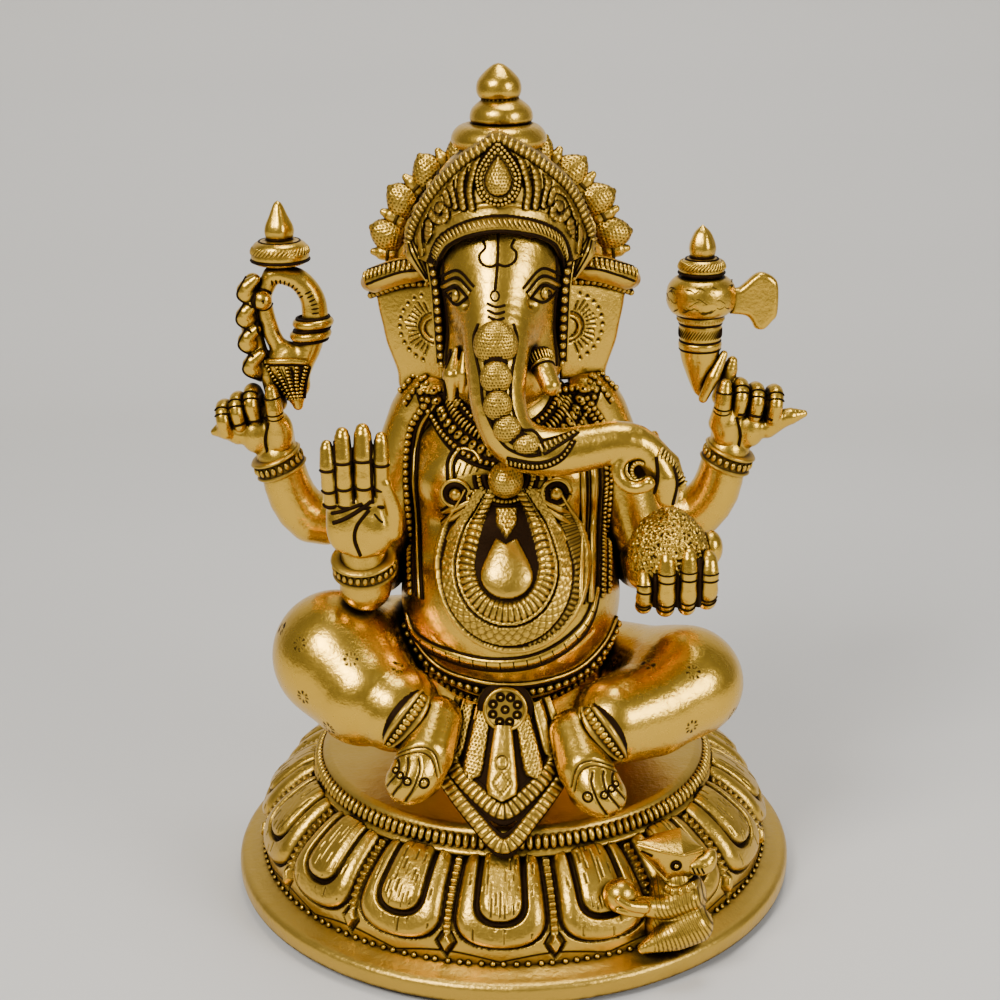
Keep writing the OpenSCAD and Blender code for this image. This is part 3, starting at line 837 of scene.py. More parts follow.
def build_chest(skin):
    """The stippled boss under the trunk in its double collar, with a stud and a leaf on each side."""
    c = middle("chest_boss")
    radius = size("chest_boss")[2] / 2 - 1.2
    clay = Clay(c - 9, c + 9, 0.3)
    clay.egg(c + point(0, -0.5, 0), (radius, radius + 1, radius), 1)
    points, faces = clay.shell()
    pit = punched_dots(points[:, 0] - c[0], points[:, 2] - c[2], 0.85)
    points[:, 1] += 0.25 * pit
    heap = Heap()
    heap.skin(points, faces, 0.8 * pit)
    for r, thick, ink in ((radius + 1.2, 0.9, 1.0), (radius + 2.7, 0.8, 0.0), (radius + 4.0, 0.6, 1.0)):
        ring = arc((c[0], c[2]), r, r, 180, 360, 28)
        ridge_on(heap, skin, ring, thick, ink, 0.4, 28)
    where, out = laid(skin, arc((c[0], c[2]), radius + 2.7, radius + 2.7, 185, 355, 40), front=True)
    bead_row(heap, where, out, 1.2, 0.2, 0.8, 0.5, 0.9, 1.0)
    for side in (-1, 1):
        if side < 0:
            lobe = [(-16.6, -1.6), (-16.4, 3.6), (-13.0, 7.2), (-8.4, 6.6), (-6.4, 3.4)]
            for shrink, thick, ink in ((1.0, 0.55, 1.0), (0.84, 0.7, 0.0), (0.70, 0.35, 1.0)):
                line = [(c[0] - 10.5 + (x + 10.5) * shrink, c[2] + 1 + (z - 1) * shrink) for x, z in lobe]
                ridge_on(heap, skin, line, thick, ink, 0.3, 24)
            for i in range(4):
                foot = (c[0] - 14.4 + 2.0 * i, c[2] - 0.6 + 0.5 * i)
                ridge_on(heap, skin, [foot, (foot[0] + 1.6, foot[1] + 3.6)], 0.26, 0.8, 0.1, 10)
        else:
            for i in range(3):
                ridge_on(heap, skin, [(c[0] + 7.6 + 2.2 * i, c[2] + 4.5), (c[0] + 8.2 + 2.2 * i, c[2] - 1.5)],
                         0.8, 0.0, 0.3)
                ridge_on(heap, skin, [(c[0] + 8.7 + 2.2 * i, c[2] + 4.5), (c[0] + 9.3 + 2.2 * i, c[2] - 1.5)],
                         0.4, 1.0, 0.1)
        spot = (c[0] + side * 14.4, c[2] - 5.4)
        where, out = skin.from_front(*spot)
        heap.add(BEAD, where + out * 0.6, axes_at(UP, out, 1.95, 1.95, 1.6))
        ridge_on(heap, skin, arc(spot, 2.7, 2.7, 0, 350, 24), 0.95, 1.0, 0.1, 24)
        ridge_on(heap, skin, arc(spot, 4.1, 3.9, 0, 350, 24), 0.7, 0.0, 0.2, 24)
        inner = (spot[0] - side * 4.6, spot[1] - 0.4)
        ridge_on(heap, skin, arc(inner, 1.4, 1.4, 0, 350, 16), 0.5, 0.0, 0.3, 16)
    heap.piece("chest_boss_and_studs", CHASED, "chased_ornament", "chest_boss")


def build_collar(skin):
    """The collar: a beaded edge by the face, fine ribs, punched plates and a scalloped outer cord."""
    c = (0.0, box("collar_necklace")[1][2] + 1)
    rows = [(14.6, 11.6, 1.5, (0.62, 0.8, 0.9)), (18.0, 14.6, 1.4, (0.52, 1.7, 1.2)),
            (22.1, 18.0, 2.7, (1.2, 1.75, 1.2)), (25.7, 20.9, 1.8, (0.8, 0.85, 0.9))]
    heap = Heap()
    for rx, rz, pitch, shape in rows:
        where, out = laid(skin, arc(c, rx, rz, 190, 350, 60), front=True)
        bead_row(heap, where, out, pitch, *shape, lift=0.8)
        if shape[0] > 1:
            bead_row(heap, where, out, pitch, 0.5, 0.5, 0.5, 1.8, 1.0)
        for grow, thick, ink in ((shape[1] + 0.35, 0.5, 1.0), (-shape[1] - 0.35, 0.4, 1.0)):
            where, out = laid(skin, arc(c, rx + grow, rz + grow, 190, 350, 60), front=True)
            heap.tube(where + out * 0.25, thick, 6, ink)
    for side in (-1, 1):
        for shift, pitch in ((0.0, 2.1), (2.4, 2.0)):
            line = [(side * (19.0 + shift), 164.5), (side * (24.5 + shift), 160.5),
                    (side * (30.0 + shift * 0.6), 153.4 + shift)]
            where, out = traced(skin, line, 24)
            bead_row(heap, where, out, pitch, 0.95, 0.95, 0.95, 0.5)
            heap.cut(where + out * 0.1 - UP * 1.25, 0.5)
    heap.piece("collar_rows", CHASED, "chased_ornament", "collar_necklace")


def build_sash(side, skin):
    """The bead column and cords that hang from the shoulder down the side of the chest."""
    node = side_name(side) + "_shoulder_sash"
    low, high = box(node)
    outer = high[0] if side > 0 else -low[0]
    top, bottom = high[2] + 1, low[2] + 1
    heap = Heap()
    rows = [(-1.9, (1.1, 1.2, 1.1), 2.2, 0.0), (-3.6, None, 0.55, 1.0), (-4.6, None, 0.6, 0.0),
            (-5.5, None, 0.4, 1.0)]
    if side > 0:
        rows = [(-2.4, (0.9, 1.0, 1.0), 1.8, 0.0), (-4.4, (0.7, 1.1, 1.0), 1.5, 0.0), (-6.0, None, 0.5, 1.0),
                (-8.2, None, 1.2, 0.0), (-9.9, None, 0.4, 1.0), (-11.2, None, 0.9, 0.0)]
    for shift, shape, pitch, ink in rows:
        line = [(side * (outer - 7 + shift), top), (side * (outer - 1.0 + shift), top - 11),
                (side * (outer + shift), top - 30), (side * (outer - 1.5 + shift), bottom)]
        where, out = traced(skin, line, 50)
        if shape is None:
            heap.tube(where + out * 0.25, pitch, 6, ink)
        else:
            bead_row(heap, where, out, pitch, *shape, lift=0.4)
            heap.cut(where - out * 0.1, 1.0)
    heap.piece(node + "_beads", CHASED, "chased_ornament", node)


def build_belly_band(skin):
    """The flat sparsely ticked band under the belly's fold."""
    c = middle("belly_band") - point(2.2, 0, 95.8)
    line = spline([(-30.5, 93.5), (-27.5, 88.0), (-16.5, 86.7), (-5.9, 86.1), (4.7, 86.9), (12.5, 89.3),
                   (19.4, 93.4), (22.9, 97.8), (25.0, 104.0)], 90)
    where, out = laid(skin, line + point(c[0], c[2]), front=True)
    heap = Heap()
    path = where + out * 0.1
    side = across_path(where, out)
    profile = [(-1.7, -0.4), (-1.4, 0.8), (0, 1.0), (1.4, 0.8), (1.7, -0.4)]
    taper = np.interp(np.arange(90), [0, 12, 72, 89], [0.4, 1, 1, 0.4])[:, None]
    heap.sheet(np.stack([path + side * a * taper + out * b for a, b in profile]), None, np.zeros((5, 90)))
    for sign, thick in ((-1, 0.45), (1, 0.9)):
        heap.cut(path + side * sign * (1.8 + 0.3 * (sign > 0)) * taper, thick)
    for i in range(6, 86, 5):
        heap.tube([path[i] + side[i] * a * taper[i] + out[i] * 0.9 for a in (-1.3, 0, 1.3)], 0.2, 5, 1.0)
    heap.piece("belly_band_strip", SKIN, "cast_skin", "belly_band")


def build_belt(skin):
    """Two rows of beads that spread from the buckle round the bottom of the belly."""
    c = middle("waist_belt") - point(0.8, 0, 76.4)
    upper = [(-31.5, 88.0), (-27.5, 81.5), (-21.6, 77.0), (-12.3, 75.7), (-3, 75.0), (8.5, 75.4),
             (17.3, 76.4), (21.9, 78.2), (26.9, 82.0), (30.5, 87.0)]
    lower = [(-33.0, 82.0), (-27.5, 75.5), (-20, 71.5), (-12, 69.0), (-3, 67.5), (7.5, 68.5), (13.5, 70.0),
             (21, 72.5), (27, 76.0), (32.5, 81.5)]
    heap = Heap()
    for line, shape, pitch in ((upper, (1.25, 1.35, 1.4), 2.6), (lower, (1.0, 1.2, 1.3), 2.3)):
        line = spline(line, 80) + point(c[0], c[2])
        where, out = laid(skin, line, front=True)
        bead_row(heap, where, out, pitch, *shape, lift=0.8)
        for drop, thick, ink in ((-2.0, 0.6, 1.0), (2.0, 0.7, 1.0), (3.1, 0.6, 0.0)):
            where, out = laid(skin, line + point(0, drop), front=True)
            heap.tube(where + out * 0.4, thick, 6, ink)
    for height, shape, pitch in ((86.0, (1.2, 1.3, 1.4), 2.6), (82.0, (1.0, 1.2, 1.3), 2.3)):
        where, out = skin.from_around(point(0, 6, height), np.linspace(-1.6, 1.6, 90))
        bead_row(heap, where, out, pitch, *shape, lift=0.6)
        heap.cut(where + out * 0.2 - UP * 2.0, 0.6)
    heap.piece("belt_beads", CHASED, "chased_ornament", "waist_belt")


def disc_relief(heap, centre, out, radius, profile, sides, inks=None):
    """A small turned disc; profile holds (share of the radius, height)."""
    out = unit(out)
    across = unit(np.cross(UP, out))
    over = np.cross(out, across)
    turns = circle(sides + 1)
    ring = np.cos(turns)[:, None] * across + np.sin(turns)[:, None] * over
    grid = np.stack([centre + ring * radius * share + out * height for share, height in profile])
    shade = np.zeros(len(profile)) if inks is None else np.array(inks, float)
    heap.sheet(grid, None, shade[:, None] * np.ones(grid.shape[:2]))
    return across, over


def build_buckle():
    """The round buckle: a plain rim round nine small rosettes."""
    low, high = box("belt_buckle")
    radius = (high[0] - low[0]) / 2 - 0.5
    out = unit(point(0, -0.951, 0.309))
    c = point((low[0] + high[0]) / 2 + 1.0, low[1] + 1.6, (low[2] + high[2]) / 2 + 0.3)
    heap = Heap()
    profile = [(1.28, -6), (1.24, -1.4), (1.08, -1.4), (1.0, -1.2), (1.0, 0.2), (0.97, 0.7), (0.90, 0.9),
               (0.84, 0.5), (0.80, 0.1), (0.4, 0.15), (0.001, 0.2)]
    across, over = disc_relief(heap, c, out, radius, profile, 64,
                               (0.5, 1, 1, 1, 0, 0, 0, 0.5, 0.35, 0.3, 0.3))
    turns = circle(17)
    spots = [(0, 0)] + [(0.58 * math.cos(a), 0.58 * math.sin(a)) for a in np.radians(np.arange(8) * 45 + 20)]
    for u, v in spots:
        spot = c + (across * u + over * v) * radius + out * 0.15
        ring = [spot + (across * math.cos(a) + over * math.sin(a)) * 1.05 for a in turns]
        heap.cut(ring, 0.34)
        heap.add(BEAD, spot, axes_at(across, out, 0.6, 0.6, 0.7))
    heap.piece("belt_buckle_disc", CHASED, "chased_ornament", "belt_buckle")


class Cloth:
    """The apron's hanging surface: a fall seen from the side, on which strips are laid flat."""

    def __init__(self, centre, fall, heap):
        self.centre = centre
        self.fall = even(np.asarray(fall, float), 120)
        self.run = np.linspace(0, length(np.asarray(fall, float)), 120)
        self.heap = heap

    def at(self, u, v, lift=0.0):
        """A place on the cloth: u across and v down it, both in millimetres."""
        y, z = (np.interp(v, self.run, self.fall[:, k]) for k in (0, 1))
        y1, z1 = (np.interp(v + 1.5, self.run, self.fall[:, k]) for k in (0, 1))
        y0, z0 = (np.interp(v - 1.5, self.run, self.fall[:, k]) for k in (0, 1))
        down = unit(point(0, y1 - y0, z1 - z0))
        out = unit(point(u * 0.03, down[2], -down[1]))
        return point(self.centre + u, y + 0.016 * u * u, z) + out * lift

    def strip(self, line, half, height, chase=None, ink=0.0):
        """A raised strip along a line of (u, v) places, with rounded sides and its own chased marks."""
        line = np.asarray(line, float)
        half = np.ones(len(line)) * np.asarray(half, float)
        ahead = np.gradient(line, axis=0)
        ahead /= np.linalg.norm(ahead, axis=1)[:, None]
        across = np.stack([-ahead[:, 1], ahead[:, 0]], axis=1)
        shares = np.linspace(-1, 1, 19)
        run = np.r_[0, np.cumsum(np.linalg.norm(np.diff(line, axis=0), axis=1))]
        grid = np.empty((len(shares), len(line), 3))
        inks = np.zeros((len(shares), len(line)))
        for i, share in enumerate(shares):
            for j in range(len(line)):
                u, v = line[j] + across[j] * share * half[j]
                lift = height * math.sqrt(max(0.0, 1 - abs(share) ** 4)) - 0.8 * (abs(share) > 0.99)
                if chase:
                    cut = chase(share * half[j], run[j])
                    lift -= 0.45 * cut
                    inks[i, j] = cut
                if abs(share) > 0.97:
                    inks[i, j] = 1
                grid[i, j] = self.at(u, v, lift)
        self.heap.sheet(grid, None, np.maximum(inks, ink))


def ticks(pitch):
    """Cut lines straight across a strip."""
    return lambda s, r: float(smooth(0.36, 0.14, abs(r / pitch - round(r / pitch)) * pitch))


def pitted(s, r):
    """Punched dots over a strip."""
    return float(0.85 * punched_dots(np.array(s), np.array(r), 1.05))


def figures(s, r):
    """The middle pleat's marks: an oval over a lozenge."""
    ring = abs(math.hypot(s * 1.25, r - 10.5) - 2.0)
    lozenge = abs(abs(s) * 1.1 + abs(r - 16.4) * 0.8 - 2.5)
    return float(smooth(0.42, 0.15, min(ring, lozenge)))


def build_apron():
    """The waist cloth: a fan of chased pleats over two ticked hems that hang over the seat's edge."""
    buckle = middle("belt_buckle")
    fall = [(-1.0, 6.0), (-2.8, -0.5), (-9.8, -9.5), (-17.8, -21.5), (-23.3, -29.5), (-26.3, -35.5),
            (-27.3, -40.5), (-27.8, -46)]
    heap = Heap()
    cloth = Cloth(buckle[0] + 0.2, [(buckle[1] + y, buckle[2] + z) for y, z in fall], heap)
    top = 12.5
    backing = [(0, top - 2), (0, top + 12), (0, top + 27)]
    cloth.strip(spline(backing, 24), np.interp(np.arange(24), [0, 8, 16, 23], [10.5, 13, 14.0, 9.0]), 0.3,
                None, 1.0)
    cloth.strip(spline([(0.2, top), (-0.2, top + 10), (-0.4, top + 21.5)], 70),
                np.interp(np.arange(70), [0, 54, 63, 69], [2.8, 4.9, 4.4, 0.5]), 2.6, figures)
    for side in (-1, 1):
        cloth.strip(spline([(side * 5.2, top - 4), (side * 7.2, top + 6), (side * 9.2, top + 15.5)], 56),
                    np.interp(np.arange(56), [0, 44, 51, 55], [2.2, 3.0, 2.6, 0.6]), 2.3, pitted)
        cloth.strip(spline([(side * 9.3, top - 7), (side * 11.4, top + 1), (side * 13.6, top + 10)], 44),
                    np.interp(np.arange(44), [0, 34, 40, 43], [1.6, 2.0, 1.7, 0.6]), 1.9, pitted if side < 0
                    else None)
        cloth.strip(spline([(side * 12.6, top - 8), (side * 15.0, top + 1), (side * 15.6, top + 10)], 44),
                    np.interp(np.arange(44), [0, 34, 43], [1.0, 1.3, 0.5]), 1.7)
    for reach, start, tip, thick in ((14.6, 25.5, 36.6, 2.7), (18.6, 28.0, 46.4, 2.3)):
        hem = [(-reach + 1.2, start - 7.5), (-reach, start - 2.5), (-reach * 0.93, start + 0.5),
               (-reach * 0.45, (start + tip) / 2 + 1.6), (0, tip), (reach * 0.45, (start + tip) / 2 + 1.6),
               (reach * 0.93, start + 0.5), (reach, start - 2.5), (reach - 1.2, start - 7.5)]
        line = even(spline(hem, 90), 150)
        cloth.strip(line - point(0, thick + 0.4), 1.1, 0.5, None, 1.0)
        cloth.strip(line, np.interp(np.arange(150), [0, 20, 130, 149], [1.2, thick, thick, 1.2]), 2.0,
                    ticks(1.75))
        cloth.strip(line + point(0, thick + 0.5), 0.9, 0.4, None, 1.0)
    heap.piece("apron_pleats", CHASED, "chased_ornament", "waist_apron")


# ---- legs ----

def sculpt_leg(side):
    """The folded leg: thigh, round knee, and shin down to the cuff."""
    name = side_name(side)
    low, high = box(name + "_leg")
    cuff = middle(name + "_leg_cuff")
    knee = point(side * (abs(high[0] if side > 0 else low[0]) - 17.5), -25, high[2] - 17.7)
    clay = Clay(low - point(4, 5, 4), high + point(4, 4, 4), 0.5)
    hip = point(side * 28, 3, knee[2] - 13)
    wide, tall, drop = (17.4, 17.4, 0) if side < 0 else (16.4, 14.6, 2.2)
    clay.limb([hip, knee + point(0, 2, -1)], (19, tall - 1), 4)
    clay.egg(knee - UP * drop, (wide, 17.8, tall), 8)
    ankle = cuff + point(side * 4, 4, 0)
    clay.limb([knee + point(-side * 2, -3, -2), knee * 0.45 + ankle * 0.55 + point(side * 1, -1, -2), ankle],
              (tall - 1, tall if side > 0 else 16.5, 13), 6)
    clay.below(box("seat_slab")[1][2])
    points, faces = clay.shell()
    return punched(points, faces, side, knee)


def punched(points, faces, side, knee):
    """Adds the little eight-pointed stars that are punched into the knee and shin."""
    ink = np.zeros(len(points))
    spots = [(-6, -17, 4), (9, -14, 9), (-17, -16, -3), (-4, -16, -11), (8, -17, -6), (16, -4, 10)]
    if side > 0:
        spots = [(0, -14, 7), (-3, -17, -6), (-16, -16, -10), (13, -9, -8), (-12, -12, 8)]
    for s, y, z in spots:
        d = points - (knee + point(side * s, y, z))
        nearest = points[np.linalg.norm(d, axis=1).argmin()]
        d = points - nearest
        r = np.linalg.norm(d, axis=1)
        turn = np.arctan2(d[:, 2], d[:, 0])
        star = smooth(2.5, 2.2, r) * smooth(0.9, 1.1, r) * smooth(-0.2, 0.2, np.cos(8 * turn))
        ink = np.maximum(ink, star)
    return points, faces, ink


def build_leg(side):
    """The leg as a piece; returns its mesh, for what is laid on it."""
    name = side_name(side)
    points, faces, ink = sculpt_leg(side)
    leg = cast(name + "_folded_leg", points, faces, ink)
    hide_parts(name + "_leg")
    return points, faces


def build_cuff(side, skin):
    """The chased hem of the trouser leg: a pointed leaf of beads between plain edges."""
    name = side_name(side)
    c = middle(name + "_leg_cuff")
    heap = Heap()
    slope = 7.0 if side < 0 else 6.4
    top = c + point(-side * slope, -5, 9.5)
    bottom = c + point(side * slope, -11, -7.5)
    line = spline([top, c + point(side * 0.5, -9, 1.6), bottom], 50)
    where, out = laid(skin, line)
    across = across_path(where, out)
    swell = np.sin(np.linspace(0.3, math.pi - 0.08, 50))
    profile = [(-1.4, -0.9), (-1.25, -0.1), (-1, 0.2), (-0.95, 1.3), (-0.72, 1.6), (-0.5, 1.0), (0, 0.8),
               (0.5, 1.0), (0.72, 1.6), (0.95, 1.3), (1, 0.2), (1.25, -0.1), (1.4, -0.9)]
    inks = [1, 1, 1, 0, 0, 0.9, 0.9, 0.9, 0, 0, 1, 1, 1]
    half = 3.5 * swell ** 0.55
    grid = np.stack([where + across * (half * a)[:, None] + out * b for a, b in profile])
    heap.sheet(grid, None, np.repeat(np.array(inks, float)[:, None], 50, axis=1))
    size_along = np.interp(np.arange(50), [0, 20, 49], [1.35, 1.45, 0.7])
    spots = even(np.hstack([where, out, size_along[:, None]]), 13)
    ahead = np.gradient(spots[:, :3], axis=0)
    for p, t in zip(spots[1:-1], ahead[1:-1]):
        heap.add(BEAD, p[:3] + p[3:6], axes_at(t, p[3:6], p[6] * 0.8, p[6] * 1.1, 0.85))
    inner = where + across * (half * (1.75 if across[25][0] * side < 0 else -1.75))[:, None]
    on, normal = laid(skin, inner)
    heap.tube(on + normal * 0.2, 0.75, 6, 0.0)
    heap.piece(name + "_cuff_leaf", CHASED, "chased_ornament", name + "_leg_cuff")


def build_foot(side):
    """A foot like a rounded tongue: a wide big toe, four slanted small ones and round nails."""
    name = side_name(side)
    cuff = middle(name + "_leg_cuff")
    low, high = box(name + "_foot")
    heel = cuff + point(side * -8.0, -0.5, -2)
    ball = cuff + point(side * -5.2, -9, -8.4)
    toe = cuff + point(0, -15.6, -14.0)
    clay = Clay(np.minimum(low, toe - 9) - 3, np.maximum(high, heel + 9) + 3, 0.35)
    clay.limb([heel, ball, toe], (7.4, 7.9, 6.5), 4, (1, 0.95, 1))
    ahead = unit(toe - ball)
    out = unit(point(0, -0.85, 0.5) - ahead * (ahead @ point(0, -0.85, 0.5)))
    across = np.cross(ahead, out) * -side
    clay.egg(toe + across * -2.2 - ahead * 3.4, (6.2, 6, 6), 3)
    lines = [[(-2.4, 7.0), (-2.8, 2.5), (-1.6, -2.8), (0.6, -5.6)],
             [(1.6, 6.0), (0.9, 1.6), (2.2, -2.4), (3.6, -4.4)],
             [(4.4, 4.6), (3.7, 1.0), (4.8, -1.8), (5.8, -3.0)]]
    clay.below(box("seat_slab")[1][2])
    points, faces = clay.shell()
    local = points - toe
    u, v, w = local @ across, local @ ahead, local @ out
    facing = w > 0.5
    ink = np.zeros(len(points))
    for line in lines:
        d, _ = path_distance(u, v, spline(line, 20))
        ink = np.maximum(ink, smooth(0.55, 0.25, d))
    for shift in (0.0, 1.7):
        bow = [(-6.6, -4.6 - shift), (-2.4, -7.6 - shift), (2.0, -7.0 - shift), (6.6, -3.4 - shift)]
        d, _ = path_distance(u, v, spline(bow, 20))
        ink = np.maximum(ink, smooth(0.5, 0.2, d))
    ink = ink * facing
    normal_out = unit_rows(points - (toe - out * 2))
    points = points - normal_out * (0.5 * ink)[:, None]
    heap = Heap()
    heap.skin(points, faces, ink)
    tree = Skin(points, faces)
    for u0, v0, radius in ((-4.6, -0.4, 1.5), (-0.2, 1.8, 1.1), (2.6, 1.4, 1.0), (5.0, 0.6, 0.9)):
        spot, normal = tree.near(toe + across * u0 + ahead * v0 + out * 6)
        ring_u = unit(np.cross(normal, ahead))
        ring_v = np.cross(normal, ring_u)
        ring = [spot + (ring_u * math.cos(a) + ring_v * math.sin(a)) * radius for a in circle(17)]
        heap.cut(ring, 0.26)
        heap.add(BEAD, spot, axes_at(ring_u, normal, radius * 0.75, radius * 0.75, 0.5))
    heap.piece(name + "_foot_and_toes", SKIN, "cast_skin", name + "_foot")


def build_body():
    """The torso, legs and front arms, and the ornament that lies on them."""
    torso_points, torso_faces = sculpt_torso()
    torso = cast("torso_casting", torso_points, torso_faces)
    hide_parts("torso")
    skin = Skin(torso_points, torso_faces)
    build_pendant(skin)
    build_chest(skin)
    build_belly_band(skin)
    build_belt(skin)
    build_buckle()
    build_apron()
    points, faces = [torso_points], [torso_faces]
    for side in (-1, 1):
        leg_points, leg_faces = build_leg(side)
        build_cuff(side, Skin(leg_points, leg_faces))
        build_foot(side)
        arm_points, arm_faces = build_front_arm(side)
        faces.append(arm_faces + sum(len(p) for p in points))
        points.append(arm_points)
    both = Skin(np.vstack(points), np.vstack(faces))
    build_collar(both)
    for side in (-1, 1):
        build_sash(side, both)


def build_front_arm(side):
    """The upper arm down to the elbow, and the forearm forward to the wrist."""
    name = side_name(side)
    low, high = box(name + "_front_arm")
    c = (low + high) / 2
    outer = c + point(side * 5, 0, 0)
    clay = Clay(low - 5, high + 5, 0.5)
    shoulder = point(side * 26.5, 0, high[2] - 10.2)
    elbow = point(outer[0] - side * 0.5, c[1] + 2.5, low[2] + 9)
    wrist = point(outer[0] + side * 0.5, low[1] + 6, low[2] + 13)
    clay.limb([shoulder, (shoulder + elbow) / 2 + point(side * 1.5, 0, 0), elbow, wrist], (9.6, 9.5, 9, 7.2),
              4)
    clay.egg(point(side * 22, -2.5, high[2] - 2.0), (9, 9, 7.5), 6)
    points, faces = clay.shell()
    arm = cast(name + "_front_arm_casting", points, faces)
    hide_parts(name + "_front_arm")
    return points, faces


build_body()


# ---- head ----

def sculpt_head():
    """The head and the trunk that grows out of it, down to its curled tip."""
    c = middle("head")
    low = np.minimum(box("head")[0], box("trunk")[0]) - 4
    high = np.maximum(box("head")[1], box("trunk")[1]) + point(8, 4, 5)
    clay = Clay(low, high, 0.45)
    clay.egg(c + point(0, -2.5, 3), (17.2, 22.5, 36), 4)
    clay.egg(c + point(0, -4.5, -15), (17.0, 20, 13), 6)
    clay.egg(c + point(0, 10, 1.5), (21, 16, 24), 5)
    for side in (-1, 1):
        clay.egg(c + point(side * 6.6, -3.5, 14.5), (10.6, 15.5, 15), 5)
    tip = box("trunk")[1]
    path = [(-0.5, -24, 191), (-1, -33, 181), (-1.3, -40, 172), (-0.9, -44, 163), (1.5, -46.5, 155.5),
            (7, -48, 151.3), (15, -49, 150.3), (24, -49, 151.6), (32, -49, 153.0), (38, -49, 151.6),
            (42, -49, 147)]
    radii = [12.0, 10.0, 8.5, 7.7, 7.2, 6.9, 6.6, 6.2, 5.8, 5.2, 4.2]
    path = spline(np.hstack([path, np.array(radii)[:, None]]), 34)
    clay.limb(path[:, :3], path[:, 3], 5)
    lobe = tip + point(-3.2, 5.0, -50)
    clay.limb([(41, -49.5, 149), (44.2, -51, 143.5), (45.2, -50, 137.5), lobe], (4.4, 3.9, 3.2, 1.2), 1.2)
    curl = arc((36.0, 146.2), 4.6, 4.4, 100, 320, 14)
    clay.limb([(x, -52.0 - 0.3 * i, z) for i, (x, z) in enumerate(curl)], 1.9, 1.0)
    clay.limb([(41.5, -49.5, 151.5), (46.5, -48.5, 147), (49.2, -48, 140)], (2.6, 2.2, 1.6), 0.8)
    for side, x, z in ((-1, -12.6, 188.6), (1, 11.6, 188.6)):
        clay.limb([(x - 3, -34, z), (x + 3, -34, z)], 1.2, -2.0)
    return clay.shell()


def line_on(heap, skin, line, radius, ink=0.0, lift=0.0, count=40):
    """A fine line laid on a skin along a smooth curve of front-view (x, z) places."""
    where, out = traced(skin, line, count)
    heap.tube(where + out * lift, radius, 6, ink)


def build_face(skin):
    """The chased marks of the face: trident, three bars, eyes with double brows, and its edge lines."""
    heap = Heap()
    staff = [(-0.4, 207.5), (-0.7, 200), (-1.4, 193.2)]
    line_on(heap, skin, staff, 0.45, 1.0)
    line_on(heap, skin, arc((-1.5, 191.6), 1.15, 1.25, 0, 360, 20), 0.3, 1.0, 0, 24)
    for prong in ([(-0.7, 199.6), (-2.6, 198.9), (-5.0, 199.6), (-5.6, 201.6), (-4.0, 203.6), (-4.6, 205.4)],
                  [(-0.7, 199.6), (1.6, 199.0), (4.0, 200.1), (4.5, 202.2), (3.2, 203.8), (4.1, 205.6)]):
        line_on(heap, skin, prong, 0.42, 1.0)
    for z, half in ((189.0, 2.5), (187.4, 2.4), (185.9, 2.2)):
        line_on(heap, skin, [(-1.2 - half, z + 0.7), (-1.2, z - 0.1), (-1.2 + half, z + 0.3)], 0.42, 1.0)
    for side, x, z, wide in ((-1, -12.4, 190.2, 3.4), (1, 12.2, 190.4, 3.9)):
        place = [(x - wide, z - 0.4), (x - 0.3 * side, z + 2.3), (x + wide, z - 0.3 - 0.6 * side)]
        lower = [place[0], (x, z - 2.6), place[2]]
        line_on(heap, skin, place, 0.42, 1.0, 0.1)
        line_on(heap, skin, lower, 0.42, 1.0, 0.1)
        for up, thick, ink in ((1.25, 0.75, 0.0), (2.3, 0.38, 1.0), (4.0, 0.45, 1.0)):
            grow = 1 + 0.14 * up
            brow = [(x + (px - x) * grow, z + (pz - z) * (1 + 0.05 * up) + up
                     * (0.75 if px != x - 0.3 * side else 1.0)) for px, pz in place]
            line_on(heap, skin, brow, thick, ink, -0.1 if ink == 0 else 0.05)
        spot, out = skin.from_front(x, z)
        heap.add(BEAD, spot + out * 0.1, axes_at(point(1, 0, 0), out, 2.1, 1.9, 1.3))
        pupil = [spot + out * 1.2 + point(math.cos(a), 0, math.sin(a)) * 0.85 for a in circle(17)]
        heap.cut(pupil, 0.25)
    for side in (-1, 1):
        edge = [(side * 16.6, 200), (side * 16.7, 190), (side * 16.4, 178), (side * 15.6, 168)]
        where, out = laid(skin, [(x, -24, z) for x, z in spline(edge, 40)])
        heap.cut(where, 0.5)
    heap.piece("face_chasing", CHASED, "chased_ornament")


def stippled_egg(heap, centre, radii):
    """A ball covered with punched dots."""
    pitch, depth, step, dark = 0.95, 0.35, 0.27, 0.95
    clay = Clay(np.asarray(centre) - np.asarray(radii) - 2, np.asarray(centre) + np.asarray(radii) + 2, step)
    clay.egg(centre, radii, 0.5)
    points, faces = clay.shell()
    d = (points - centre) / np.asarray(radii)
    turn = np.arctan2(d[:, 0], -d[:, 1]) * radii[0]
    rise = np.arcsin(np.clip(d[:, 2] / np.linalg.norm(d, axis=1), -1, 1)) * radii[2]
    pit = punched_dots(turn, rise, pitch)
    points = points - d * (depth * pit)[:, None]
    heap.skin(points, faces, dark * pit)


